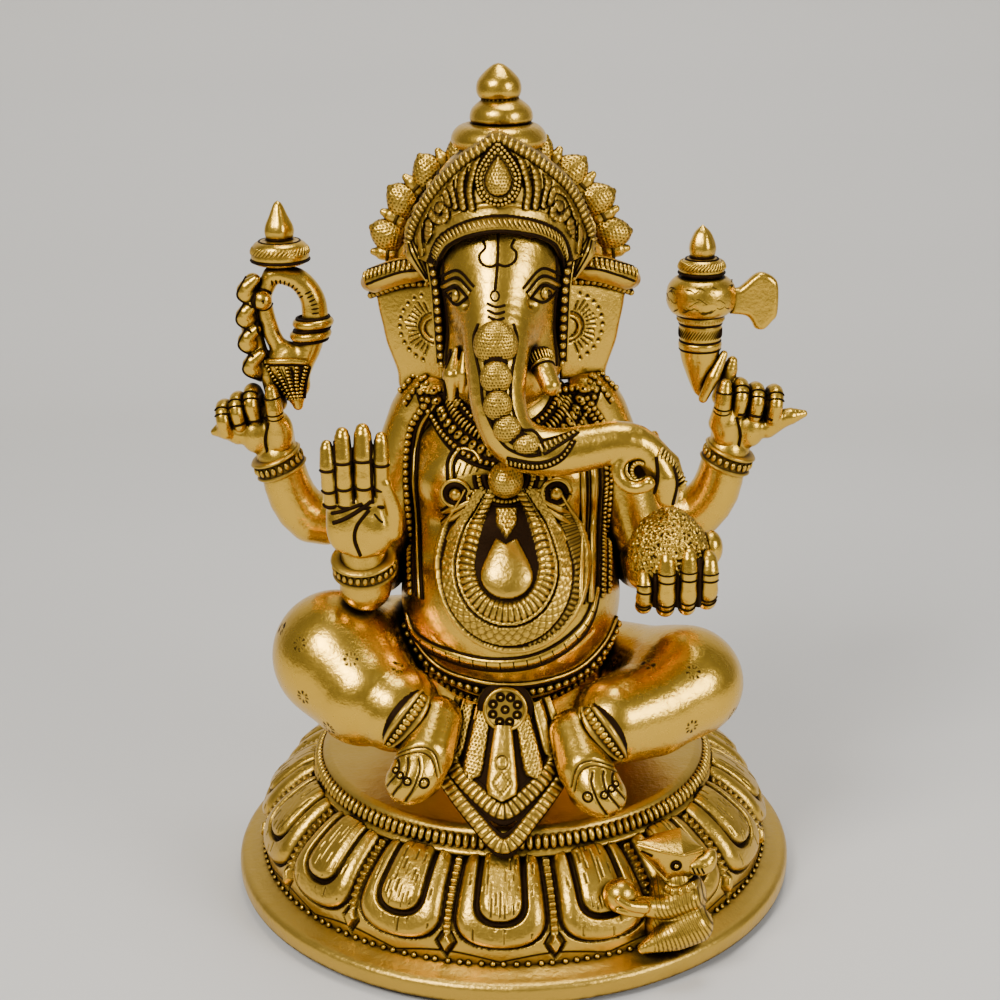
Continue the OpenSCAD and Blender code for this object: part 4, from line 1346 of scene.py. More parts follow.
def build_trunk_bosses(skin):
    """The row of stippled bosses down the trunk, the cord round them and the ticked leaf at the bend."""
    heap = Heap()
    bosses = [(-1.5, 180.1, 6.1, 6.8), (-1.5, 171.6, 4.4, 5.0), (-1.1, 164.4, 4.0, 4.5),
              (1.4, 158.3, 3.9, 4.0), (6.7, 154.3, 4.0, 2.8)]
    left, right = [], []
    for x, z, rx, rz in bosses:
        spot, out = skin.from_front(x, z)
        stippled_egg(heap, spot - out * 0.2 * rx, (rx, rx * 0.75, rz))
        left.append((x - rx - 0.3, z))
        right.append((x + rx + 0.3, z))
    left = [(-6.6, 184.6)] + left[:-1] + [(0.6, 153.4), (6.0, 151.2), (10, 151.6)]
    right = [(4.0, 184.6)] + right[:-1] + [(9.0, 157.2), (11.4, 154.6), (10, 151.6)]
    under, out = traced(skin, [(x, z) for x, z, _, _ in bosses], 50)
    heap.tube(under - out * 2.4, np.interp(np.arange(50), [0, 14, 49], [4.4, 3.6, 3.2]), 10, 1.0)
    for line in (left, right):
        inner = [(x + (0.5 if line is left else -0.5), z) for x, z in line]
        line_on(heap, skin, inner, 0.45, 1.0, 0.1, 70)
    for line, wide, pitch in (([(10.5, 153.4), (14.5, 154.8), (20.5, 156.9)], 1.5, 1.3),
                              ([(1.5, 148.9), (9.5, 148.3), (15.5, 150.6), (19.5, 155.2)], 1.0, 1.1)):
        where, out = traced(skin, line, 40)
        spots = even(np.hstack([where, out]), max(3, round(length(where) / pitch)))
        ahead = np.gradient(spots[:, :3], axis=0)
        for i, (p, t) in enumerate(zip(spots, ahead)):
            narrow = wide * (1 - 0.75 * i / len(spots))
            heap.add(BEAD, p[:3] + p[3:] * 0.2, axes_at(t, p[3:], pitch * 0.42, narrow, 0.8))
        side = across_path(where, out)
        taper = np.linspace(1, 0.3, 40)[:, None]
        for sign in (-1, 1):
            heap.cut(where + side * sign * (wide + 0.5) * taper, 0.4)
    for i in range(9):
        turn = math.radians(60 + 22 * i)
        spot = point(37.0 + 1.9 * math.cos(turn), -53.5, 146.2 + 2.3 * math.sin(turn))
        heap.add(BEAD, spot, axes_at(UP, FRONT, 0.75, 0.75, 1.2), 0.15)
    heap.add(BEAD, point(37.0, -51.5, 146.2), axes_at(UP, FRONT, 3.2, 3.0, 0.8), 1.0)
    for line in ([(41.8, 150.2), (42.2, 145.0), (41.6, 139.0)],
                 [(46.4, 147.6), (47.6, 142.0), (46.6, 136.0)]):
        line_on(heap, skin, line, 0.55, 1.0, 0.0, 24)
    ridge = [(43.0, 151.4), (46.8, 147.2), (49.4, 141.0)]
    where, out = traced(skin, ridge, 24)
    bead_row(heap, where, out, 1.25, 0.5, 1.7, 0.7, 0.1)
    heap.piece("trunk_boss_row", CHASED, "chased_ornament", "trunk_bosses")


def build_tusks():
    """Two folded leaves stand for the broken tusk; the other is a short stub in a ribbed socket."""
    heap = Heap()
    clay = Clay(box("right_tusk")[0] - point(5, 7, 6), box("right_tusk")[1] + point(5, 5, 7), 0.3)
    c = middle("right_tusk")
    clay.limb([c + point(0.8, 0.5, 6.5), c + point(-0.3, -2.2, 0), c + point(-0.8, -3.4, -6.5)],
              (1.1, 2.9, 1.0), 1, (1, 1.2, 1))
    clay.limb([c + point(3.2, -2.5, 6.0), c + point(3.0, -4.6, 1), c + point(2.2, -5.0, -4.0)],
              (1.0, 1.9, 0.8), 1)
    heap.shell_of(clay)
    for shift in (-2.2, 1.4, 4.6):
        line = [c + point(shift + 1.5, -1, 7.0), c + point(shift, -3.5, 0.5),
                c + point(shift - 0.4, -3.6, -6.5)]
        heap.cut(spline(line, 24), 0.45)
    heap.piece("right_tusk_leaves", SKIN, "cast_skin", "right_tusk")
    heap = Heap()
    c = middle("left_tusk")
    ahead = unit(point(4.0, -9, -8.5))
    base = c + point(-3.4, 2.5, 2.6)
    clay = Clay(box("left_tusk")[0] - 9, box("left_tusk")[1] + 9, 0.3)
    clay.limb([base + ahead * 3, base + ahead * 8.5, base + ahead * 12.8], (3.0, 3.1, 2.8), 1)
    heap.shell_of(clay)
    across = unit(np.cross(ahead, UP))
    over = np.cross(across, ahead)
    for i in range(26):
        turn = TURN * i / 26
        ray = across * math.cos(turn) + over * math.sin(turn)
        spot = base + ahead * 4.0 + ray * 3.4
        heap.add(BEAD, spot, axes_at(ahead, ray, 1.9, 0.38, 0.8))
    for along, wide, ink in ((2.2, 3.3, 1.0), (6.0, 3.3, 0.0), (6.6, 3.0, 1.0)):
        ring = [base + ahead * along + (across * math.cos(a) + over * math.sin(a)) * wide
                for a in circle(25)]
        heap.tube(ring, 0.5, 6, ink)
    heap.add(BEAD, base + ahead * 14.8 + over * 0.4, axes_at(across, ahead, 0.35, 0.35, 0.3), 1.0)
    heap.piece("left_tusk_stub", SKIN, "cast_skin", "left_tusk")


def inside_outline(u, v, outline):
    """Whether each (u, v) lies inside a closed flat outline."""
    outline = np.asarray(outline, float)
    found = np.zeros(np.shape(u), bool)
    for a, b in zip(outline, np.roll(outline, -1, axis=0)):
        spans = (a[1] > v) != (b[1] > v)
        rise = b[1] - a[1] if b[1] != a[1] else 1e-9
        found ^= spans & (u < a[0] + (v - a[1]) / rise * (b[0] - a[0]))
    return found


def outline_depth(u, v, outline):
    """How far inside a closed flat outline each (u, v) lies; negative outside."""
    closed = np.vstack([outline, outline[:1]])
    away, _ = path_distance(u, v, closed)
    return np.where(inside_outline(u, v, outline), away, -away)


def slab_of(low, high, step, outline, face, thick, round_by):
    """A plate seen from the front: its outline in X and Z, face(x, z) its middle in Y."""
    clay = Clay(low, high, step)
    x, y, z = clay.axes
    u, v = np.meshgrid(x, z, indexing="ij")
    depth = outline_depth(u, v, outline)
    centre = face(u, v)
    flat = round_by - depth
    through = np.abs(y[None, :, None] - centre[:, None, :]) - thick / 2 + round_by
    edge = np.maximum(flat, 0)[:, None, :]
    outside = np.hypot(edge, np.maximum(through, 0))
    inside = np.minimum(np.maximum(flat[:, None, :], through), 0)
    clay.field = (outside + inside - round_by).astype(np.float32)
    return clay


def build_ear(side):
    """A flat ear with a half round at its root, rays round that and a row of punched dots."""
    name = side_name(side)
    low, high = box(name + "_ear")
    outer = high[0] if side > 0 else -low[0]
    top, bottom = high[2], low[2]
    outline = [(15, top + 3), (24, top + 2), (outer - 3, top - 1.0), (outer - 2.2, top - 5),
               (outer - 3.6, top - 12), (outer - 4.6, top - 17), (outer - 7.4, bottom + 6),
               (outer - 7.8, bottom + 1), (outer - 10, bottom + 0.5), (24, bottom + 3), (17, bottom + 4)]
    outline = spline(outline, 60) * point(side, 1)

    def face(x, z):
        """How far back the ear's middle lies at each (x, z)."""
        return -6.5 + (np.abs(x) - 18) * 0.42 + 0.004 * (z - 172)**2

    clay = slab_of(low - 4, high + 4, 0.4, outline, face, 4.6, 1.6)
    points, faces = clay.shell()
    root = (19.4, top - 11.0)
    u, v = np.abs(points[:, 0]) - root[0], points[:, 2] - root[1]
    r, turn = np.hypot(u, v), np.degrees(np.arctan2(v, u))
    front = points[:, 1] < face(points[:, 0], points[:, 2])
    step = 11.5
    off = np.abs(turn / step - np.round(turn / step)) * np.radians(step) * r
    rays = smooth(0.42, 0.2, off) * (r > 5.2) * (r < 8.4 + 0.5 * np.sin(turn / 7)) * (np.abs(turn) < 76)
    dots = smooth(0.75, 0.45, np.hypot(np.abs(turn / 14 - np.round(turn / 14)) * np.radians(14) * r,
                                       r - 10.2))
    dots = dots * (np.abs(turn) < 72)
    rings = np.maximum(smooth(0.5, 0.2, np.abs(r - 4.5)), smooth(0.45, 0.2, np.abs(r - 2.7))) * (u > -1)
    ink = np.maximum(np.maximum(rays, dots), rings) * front
    points[:, 1] += 0.45 * ink - 0.9 * front * smooth(4.4, 3.6, r) * smooth(2.2, 3.2, r)
    ear = cast(name + "_ear_casting", points, faces, ink)
    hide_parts(name + "_ear")


def build_ear_roll(side):
    """The turned-down edge of the crown over the ear: a rope band above a smooth fold and a dark bead row."""
    name = side_name(side)
    low, high = box(name + "_ear_roll")
    outer = high[0] if side > 0 else -low[0]
    inner = -high[0] if side < 0 else low[0]
    path = spline([(inner + 1, -7, high[2] - 1.5), (inner + 9, -6.5, high[2] - 1.6),
                   (outer - 7, -3, high[2] - 4.2), (outer - 2.6, 1, high[2] - 6.6)], 40) * point(side, 1, 1)
    heap = Heap()
    clay = Clay(low - 5, high + 5, 0.35)
    clay.limb(path, np.interp(np.arange(40), [0, 12, 34, 39], [2.4, 3.9, 3.9, 2.8]), 1, (1, 1.1, 1))
    skin = heap.shell_of(clay)
    top = path + point(0, -3.4, 2.2)
    where, out = laid(skin, top)
    bead_row(heap, where, out, 1.65, 0.75, 1.6, 0.8, 0.1)
    for shift in (point(0, -4.4, 0.6), point(0, -2.5, 3.6)):
        where, out = laid(skin, path + shift)
        heap.cut(where, 0.4)
    under = path[4:] + point(0, 0.6, -4.0)
    bead_row(heap, under, np.tile(FRONT, (len(under), 1)), 1.9, 0.95, 1.0, 1.0, 0.9, 0.2)
    heap.tube(under, 1.1, 8, 1.0)
    heap.piece(name + "_ear_roll_band", CHASED, "chased_ornament", name + "_ear_roll")


# ---- crown ----

def crown_leaf(heap, path, radii, side):
    """A striped leaf of the crown."""
    clay = Clay(np.min(path, axis=0) - 6, np.max(path, axis=0) + 6, 0.35)
    clay.limb(path, radii, 1, (1.0, 0.7, 1.0))
    skin = heap.shell_of(clay)
    for shift in (-1.3, 0, 1.3):
        line = [(p[0] + side * shift * (0.4 if i in (0, len(path) - 1) else 1), p[2]) for i,
                p in enumerate(path)]
        line_on(heap, skin, line, 0.3, 1.0, 0, 24)


def tiara_face(x, z):
    """How far forward the tiara stands at each (x, z)."""
    return -33.4 + 0.032 * x * x + np.maximum(z - 209, 0) * 0.36


def build_tiara():
    """The tall front of the crown: beaded ribs and scrolls round the jewel, inside a rope edge."""
    peak = box("crown_tiara")[1][2] + 1.0
    edge = [(-25.4, 198), (-25.0, 203), (-23.4, 208), (-20.0, 214.3), (-14.8, 221.0), (-9.0, 226.4),
            (-4, 229.6), (-0.8, peak), (3, 230.4), (8, 227.5), (13, 223.6), (18, 218.8), (21.5, 213.5),
            (24, 207.5), (25.3, 203), (25.4, 198)]
    brow = [(18.6, 197), (17.0, 202.6), (14.5, 206), (10.3, 208.6), (5, 210.1), (0.3, 210.7), (-4.5, 210.2),
            (-9.8, 208.4), (-14, 205.6), (-16.6, 202.4), (-18.6, 197)]
    outline = np.vstack([spline(edge, 70), spline(brow, 50)])
    step = 0.28
    u, v = np.meshgrid(np.arange(-29, 29, step), np.arange(194, peak + 3, step))
    depth = outline_depth(u, v, outline)
    to_brow, _ = path_distance(u, v, spline(brow, 50))
    to_edge, _ = path_distance(u, v, spline(edge, 70))
    field = (to_brow > 4.6) & (to_edge > 2.6)
    lift = np.where(to_brow < 4.4, 0.2 - 1.3 * np.sin(np.clip((to_brow - 1.5) / 2.9, 0, 1) * math.pi), 0.1)
    ink = np.where(to_brow < 2.2, 1.0, np.where(field, 0.35, 0.0))
    fold = smooth(0.8, 0.4, np.abs(to_brow - 4.9)) * (to_edge > 2)
    lift = np.maximum(lift, 1.1 * fold)
    ink = np.where(fold > 0.1, 0.0, ink)

    def ridge(line, half, height, pitch=0.0):
        """A rounded ridge along a line, beaded where a pitch is given."""
        nonlocal lift, ink
        line = spline(line, 60)
        d, run = path_distance(u, v, line)
        wave = np.cos(TURN * run / pitch) if pitch else np.ones_like(run)
        body = np.sqrt(np.clip(1 - (d / half)**2, 0, 1)) * height * (0.76 + 0.24 * wave)
        here = (d < half) & (to_edge > 1.5) & (to_brow > 3.6)
        seam = (d >= half) & (d < half + 0.42) & (to_edge > 1.5) & (to_brow > 4.0)
        lift = np.where(here, 0.3 + body, np.where(seam, -0.2, lift))
        ink = np.where(here, smooth(-0.5, -0.95, wave) * 0.8, np.where(seam, 1.0, ink))

    for side in (-1, 1):
        for foot, waist, head, top in ((7.5, 7.9, 5.2, 229.0), (9.9, 10.5, 9.2, 226.0),
                                       (12.2, 13.4, 13.2, 222.2)):
            ridge([(side * foot, 214.3), (side * waist, 219.5), (side * head, top)], 0.92, 1.5, 1.5)
        swirl = [(side * (16.5 + (0.3 + 0.52 * k) * math.cos(0.9 * k + 0.6)),
                  212.6 + (0.3 + 0.52 * k) * math.sin(0.9 * k + 0.6)) for k in range(0, 7)]
        ridge(swirl, 1.0, 1.8, 1.4)
        ridge([(side * 20.6, 205.0), (side * 21.0, 210.5), (side * 18.8, 215.8), (side * 15.2, 217.6),
               (side * 13.9, 214.6)], 0.85, 1.4, 1.4)
        ridge([(side * 19.6, 208.4), (side * 19.8, 205.0), (side * 19.4, 201.0)], 1.15, 1.6, 1.4)
        ridge([(side * 22.6, 206.4), (side * 22.6, 203.4), (side * 22.0, 199.4)], 0.8, 1.2)
    grown = np.minimum(depth, 0)
    y = tiara_face(u, v) - np.where(depth > 0, lift, 0.0) - grown * 5.0
    points = np.stack([u, y, v], axis=-1)
    heap = Heap()
    heap.sheet(points, depth > -1.7, np.where(depth > 0, ink, 0.4))
    rope = spline(edge, 90)
    path = np.stack([rope[:, 0], tiara_face(rope[:, 0], rope[:, 1]) + 0.6, rope[:, 1]], axis=1)
    heap.tube(path, 1.8, 10, 0.8)
    out = unit_rows(unit_rows(path - (middle("head") + point(0, 6, 4))) + 0.9 * FRONT)
    bead_row(heap, path, out, 1.75, 0.78, 1.9, 1.2, 1.0)
    heap.piece("crown_tiara_front", CHASED, "chased_ornament", "crown_tiara")


def build_brow_band():
    """The slanted-tick band that frames the forehead, and the beads that run down beside the face."""
    line = spline([(-19.0, 191), (-18.3, 197), (-16.6, 202.4), (-14.2, 205.4), (-9.8, 208.2), (-4.7, 209.9),
                   (0.3, 210.4), (5.2, 209.8), (10.3, 208.3), (14.6, 205.7), (17.0, 202.6), (18.3, 197),
                   (19.0, 191)], 120)
    path = np.stack([line[:, 0], tiara_face(line[:, 0], line[:, 1]) - 0.2 + 5.0
                     * smooth(203, 194, line[:, 1]), line[:, 1]], axis=1)
    out = unit_rows(path - (middle("crown_brow_band") + point(0, 24, -6)))
    side = np.cross(unit_rows(np.gradient(path, axis=0)), out)
    heap = Heap()
    profile = [(-2.1, -1.5), (-1.9, 0.4), (-1.2, 0.8), (0, 0.9), (1.2, 0.8), (1.9, 0.4), (2.1, -1.5)]
    grid = np.stack([path + side * a + out * b for a, b in profile])
    heap.sheet(grid, None, np.array([1, 0.2, 0.5, 0.6, 0.5, 0.2, 1.0])[:, None] * np.ones((1, len(path))))
    count = round(length(path) / 1.35)
    spots = even(np.hstack([path, out, side]), count)
    ahead = unit_rows(np.gradient(spots[:, :3], axis=0))
    for p, t in zip(spots, ahead):
        slant = unit(t + 1.9 * p[6:])
        heap.add(BEAD, p[:3] + p[3:6] * 0.75, axes_at(slant, p[3:6], 1.75, 0.5, 0.75))
    for sign in (-1, 1):
        heap.cut(path + side * sign * 2.35 + out * 0.1, 0.5)
        strand = spline([(sign * 19.0, -19, 197), (sign * 18.0, -20.5, 190), (sign * 17.5, -21, 180),
                         (sign * 17, -20, 168)], 40)
        heap.tube(strand, 1.3, 8, 1.0)
        bead_row(heap, strand, np.tile(FRONT, (40, 1)), 2.6, 1.15, 1.2, 1.1, 0.9)
        for shift in (-1.5, 1.6):
            heap.tube(strand + point(shift, 0.8, 0), 0.45, 6)
    heap.piece("crown_brow_band_ticks", CHASED, "chased_ornament", "crown_brow_band")


def teardrop(radius, tall):
    """A closed drop with its point up: radius of the round part, height of the point above its centre."""
    low = arc((0, 0), radius, radius, 200, 340, 24)
    side = [(radius, 0.25 * radius), (radius * 0.72, tall * 0.5), (radius * 0.3, tall * 0.82), (0, tall)]
    left = [(-x, y) for x, y in side[::-1]]
    return np.vstack([low, spline([tuple(low[-1])] + side, 16)[1:], spline(left + [tuple(low[0])], 16)[1:]])


def build_jewel():
    """The drop on the crown: a stippled core in a ring of beads with a dark outline."""
    c = (-0.2, box("crown_jewel")[0][2] + 10.6)
    heap = Heap()
    step = 0.22
    u, v = np.meshgrid(np.arange(-7.5, 7.5, step), np.arange(-7.5, 12.5, step))
    core = outline_depth(u, v, teardrop(3.5, 6.6))
    rim = outline_depth(u, v, teardrop(6.3, 10.8))
    pit = punched_dots(u, v, 0.9)
    dome = 2.6 * np.sqrt(np.clip(core / 3.5, 0, 1)) + 1.2 - 0.28 * pit
    height = np.where(core > 0, dome, np.where(rim > 0.9, 0.8, 0.2))
    ink = np.where(core > 0, 0.85 * pit, np.where(core > -0.5, 1.0, np.where(rim < 0.7, 1.0, 0.5)))
    x, z = c[0] + u, c[1] + v
    y = tiara_face(x, z) - 1.0 - height + 3 * np.maximum(-rim, 0)
    heap.sheet(np.stack([x, y, z], axis=-1), rim > -0.6, ink)
    for radius, tall, size_of in ((4.7, 8.3, 0.62), (5.75, 9.9, 0.5)):
        ring = teardrop(radius, tall) + point(*c)
        path = np.stack([ring[:, 0], tiara_face(ring[:, 0], ring[:, 1]) - 1.9, ring[:, 1]], axis=1)
        bead_row(heap, path, np.tile(FRONT, (len(path), 1)), size_of * 2.1, size_of, size_of, 0.6, 0.1)
    heap.piece("crown_jewel_drop", CHASED, "chased_ornament", "crown_jewel")


def lathe_piece(heap, centre, profile, columns, lobes=0, deep=0.0):
    """A turned shape about an upright line. profile holds (radius, height); lobes ripples it."""
    profile = np.asarray(profile, float)
    a = circle(columns + 1)
    radius = profile[:, :1] * (1 + deep * np.cos(lobes * a)[None, :])
    grid = np.stack([centre[0] + radius * np.cos(a), centre[1] + radius * np.sin(a),
                     centre[2] + profile[:, 1:] * np.ones_like(radius)], axis=-1)
    heap.sheet(grid)


def build_crown_top():
    """The dome behind the tiara, its thick smooth ring, and the two-tier bud on top."""
    low, high = box("crown_dome")
    radius = (high[0] - low[0]) / 2
    c = point(0, high[1] - radius, 0)
    heap = Heap()
    base, top = low[2] - 4, high[2]
    profile = spline([(radius * 0.9, base), (radius, base + 4), (radius, base + 9),
                      (radius * 0.95, base + 14), (radius * 0.80, base + 20), (radius * 0.58, top - 9.5),
                      (radius * 0.42, top - 6.5)], 60)
    lathe_piece(heap, c, profile, 96)
    rings = spline([(radius * 0.40, top - 6.8), (radius * 0.50, top - 5.6), (radius * 0.545, top - 3.4),
                    (radius * 0.50, top - 0.8), (radius * 0.40, top + 0.7), (radius * 0.2, top + 1.2),
                    (0.01, top + 1.2)], 60)
    lathe_piece(heap, c, rings, 96)
    for i in range(7):
        z = base + 3 + 3.4 * i
        r = float(np.interp(z, profile[:, 1], profile[:, 0]))
        ring = [c + point(r * math.sin(a), r * math.cos(a), z) for a in np.linspace(-1.9, 1.9, 60)]
        out = unit_rows(np.array(ring) - c - point(0, 0, z))
        if i % 2:
            bead_row(heap, ring, out, 2.2, 0.95, 1.0, 0.9, 0.1)
        else:
            heap.cut(ring, 0.55)
    heap.piece("crown_dome_and_ring", SKIN, "cast_skin", "crown_dome")
    heap = Heap()
    low, high = box("crown_finial")
    radius = (high[0] - low[0]) / 2
    c = point(0.2, (low[1] + high[1]) / 2, low[2])
    tall = high[2] - low[2]
    lower = spline([(0.01, 0.4), (radius * 0.75, 0.5), (radius * 0.98, 1.4), (radius * 1.02, 3.0),
                    (radius * 0.93, 5.2), (radius * 0.66, 7.2), (radius * 0.45, 8.0), (0.01, 8.1)], 50)
    lathe_piece(heap, c + point(0.6, 0, 0), lower, 72)
    upper = spline([(0.01, 7.6), (radius * 0.52, 7.7), (radius * 0.68, 8.6), (radius * 0.73, 10.6),
                    (radius * 0.66, 13.0), (radius * 0.42, 15.4), (radius * 0.18, 17.0), (0.01, tall)], 60)
    lathe_piece(heap, c, upper, 72)
    for z, r, count in ((0.7, 0.86, 40), (7.5, 0.56, 26)):
        for ray in rays(count):
            heap.add(BEAD, c + ray * radius * r + point(0.3, 0, z), axes_at(UP, ray, 0.9, 0.32, 0.5), 0.75)
    heap.piece("crown_finial_bud", SKIN, "cast_skin", "crown_finial")


def build_halo():
    """The disc behind the head, with large stippled petals and small buds in turn round its edge."""
    low, high = box("halo_disc")
    radius = (high[0] - low[0]) / 2
    c = point(0, (low[1] + high[1]) / 2, high[2] - radius + 4.3)
    heap = Heap()
    for face in (-1, 1):
        profile = [(1.0, -0.5), (0.995, 1.4), (0.96, 2.2), (0.85, 2.2), (0.82, 1.7), (0.72, 1.7), (0.70, 2.3),
                   (0.62, 2.3), (0.6, 1.6), (0.35, 1.8), (0.3, 2.6), (0.001, 3.4)]
        disc_relief(heap, c, point(0, face, 0), radius, profile, 96)
    ring = [c + point(math.cos(a), 0, math.sin(a)) * radius * 0.9 + point(0, 2.2, 0) for a in circle(120)]
    bead_row(heap, ring, np.tile(-FRONT, (120, 1)), 3.0, 1.1, 1.1, 0.9, 0.1)
    heap.piece("halo_disc_casting", CHASED, "chased_ornament", "halo_disc")
    heap = Heap()
    for i in range(9):
        a = math.radians(-3.6 + 18.7 * (i + 1))
        ray, turn = point(math.cos(a), 0, math.sin(a)), point(-math.sin(a), 0, math.cos(a))
        petal(heap, c + ray * (radius + 2.3), ray, turn)
    for i in range(10):
        a = math.radians(6.4 + 18.6 * i)
        ray, turn = point(math.cos(a), 0, math.sin(a)), point(-math.sin(a), 0, math.cos(a))
        bud = c + ray * (radius + 4.0)
        clay = Clay(bud - 7, bud + 7, 0.35)
        clay.limb([bud - ray * 3.0, bud, bud + ray * 2.6], (2.6, 2.3, 1.1), 1)
        heap.shell_of(clay)
        hoop = [bud - ray * 1.6 + (turn * math.cos(t) + FRONT * math.sin(t)) * 2.5 for t in circle(21)]
        heap.tube(hoop, 0.5, 6, 0.9)
    heap.piece("halo_petals_and_buds", CHASED, "chased_ornament", "halo_petals")


def petal(heap, centre, ray, turn):
    """A puffed petal with a ridge to its point, covered with punched dots."""
    clay = Clay(centre - 10, centre + 10, 0.35)
    tilt = np.stack([ray, point(0, 1, 0), turn])
    clay.egg(centre, (5.4, 3.6, 5.0), 2, tilt)
    clay.limb([centre, centre + ray * 3.6 - turn * 0.8, centre + ray * 6.0 - turn * 1.0], (3.6, 2.6, 0.9),
              2.5)
    points, faces = clay.shell()
    d = points - centre
    u, v = d @ turn, d @ ray
    pit = punched_dots(u, v, 1.05) * (d[:, 1] < 2.5)
    points[:, 1] += 0.3 * pit
    heap.skin(points, faces, 0.9 * pit)


def build_head():
    """The head and all that sits on it."""
    points, faces = sculpt_head()
    head = cast("head_and_trunk", points, faces)
    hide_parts("head", "trunk")
    skin = Skin(points, faces)
    build_face(skin)
    build_trunk_bosses(skin)
    build_tusks()
    for side in (-1, 1):
        build_ear(side)
        build_ear_roll(side)
    build_tiara()
    build_brow_band()
    build_jewel()
    build_crown_top()
    build_halo()
    heap = Heap()
    for side in (-1, 1):
        crown_leaf(heap, np.array([(side * 26.0, -11, 204), (side * 23.5, -14.5, 198.5),
                                   (side * 20.5, -16.5, 192)]), (1.2, 3.2, 1.2), side)
    heap.piece("crown_side_leaves", CHASED, "chased_ornament")


def lean(before, shift):
    """Moves every piece made since before along X: the whole head leans a little to its right."""
    for made in bpy.context.scene.objects:
        if made.type == "MESH" and made.name not in before:
            made.data.transform(Matrix.Translation((shift, 0, 0)))


made_before_head = {made.name for made in bpy.context.scene.objects}
build_head()
lean(made_before_head, HEAD_LEAN_M)


# ---- arms, hands and what they hold ----

def ring_path(centre, across, over, radius, wide=1.0):
    """A closed round path; wide stretches it along across."""
    turns = circle(41)
    return np.array([centre + across * math.cos(a) * radius * wide + over * math.sin(a) * radius
                     for a in turns])


def bracelet(name, node, centre, axis, radius, flat=1.0):
    """A bracelet: a patterned band between two cords."""
    axis = unit(axis)
    across = unit(np.cross(axis, FRONT))
    over = np.cross(axis, across)
    heap = Heap()
    profile = [(-3.1, -2.2), (-3.0, 0.2), (-2.4, 0.8), (-1.8, 0.1), (-1.2, -0.2), (1.2, -0.2), (1.8, 0.1),
               (2.4, 0.8), (3.0, 0.2), (3.1, -2.2)]
    inks = [1, 0.1, 0, 1, 0.8, 0.8, 1, 0, 0.1, 1]
    turns = circle(61)
    ray = np.cos(turns)[:, None] * across + np.sin(turns)[:, None] * over * flat
    grid = np.stack([centre + axis * a + ray * (radius + b) for a, b in profile])
    heap.sheet(grid, None, np.array(inks, float)[:, None] * np.ones((1, 61)))
    path = ring_path(centre, across, over * flat, radius)
    out = unit_rows(path - centre)
    bead_row(heap, path, out, 2.1, 0.8, 1.35, 0.8, 0.0)
    heap.piece(name, CHASED, "chased_ornament", node)


def finger(clay, path, radius, soft=0.5):
    """A finger swollen a little between its joints, with a rounded tip."""
    path = spline(path, 16)
    swell = radius * (1 + 0.05 * np.cos(np.linspace(0, 6 * math.pi, 16)))
    swell[-3:] *= (0.97, 0.88, 0.68)
    clay.limb(path, swell, soft)


def creases(heap, path, radius, places, thick):
    """Short cut lines across a finger, at shares of its length."""
    path = spline(path, 60)
    ahead = unit_rows(np.gradient(path, axis=0))
    for share in places:
        i = int(share * 59)
        across = unit(np.cross(ahead[i], FRONT))
        out = np.cross(across, ahead[i])
        out = out if out @ FRONT > 0 else -out
        line = [path[i] + across * math.sin(a) * radius * 1.02 + out * math.cos(a) * radius * 1.02
                - ahead[i] * 0.5 * math.cos(a) for a in np.linspace(-1.2, 1.2, 13)]
        heap.cut(line, thick)


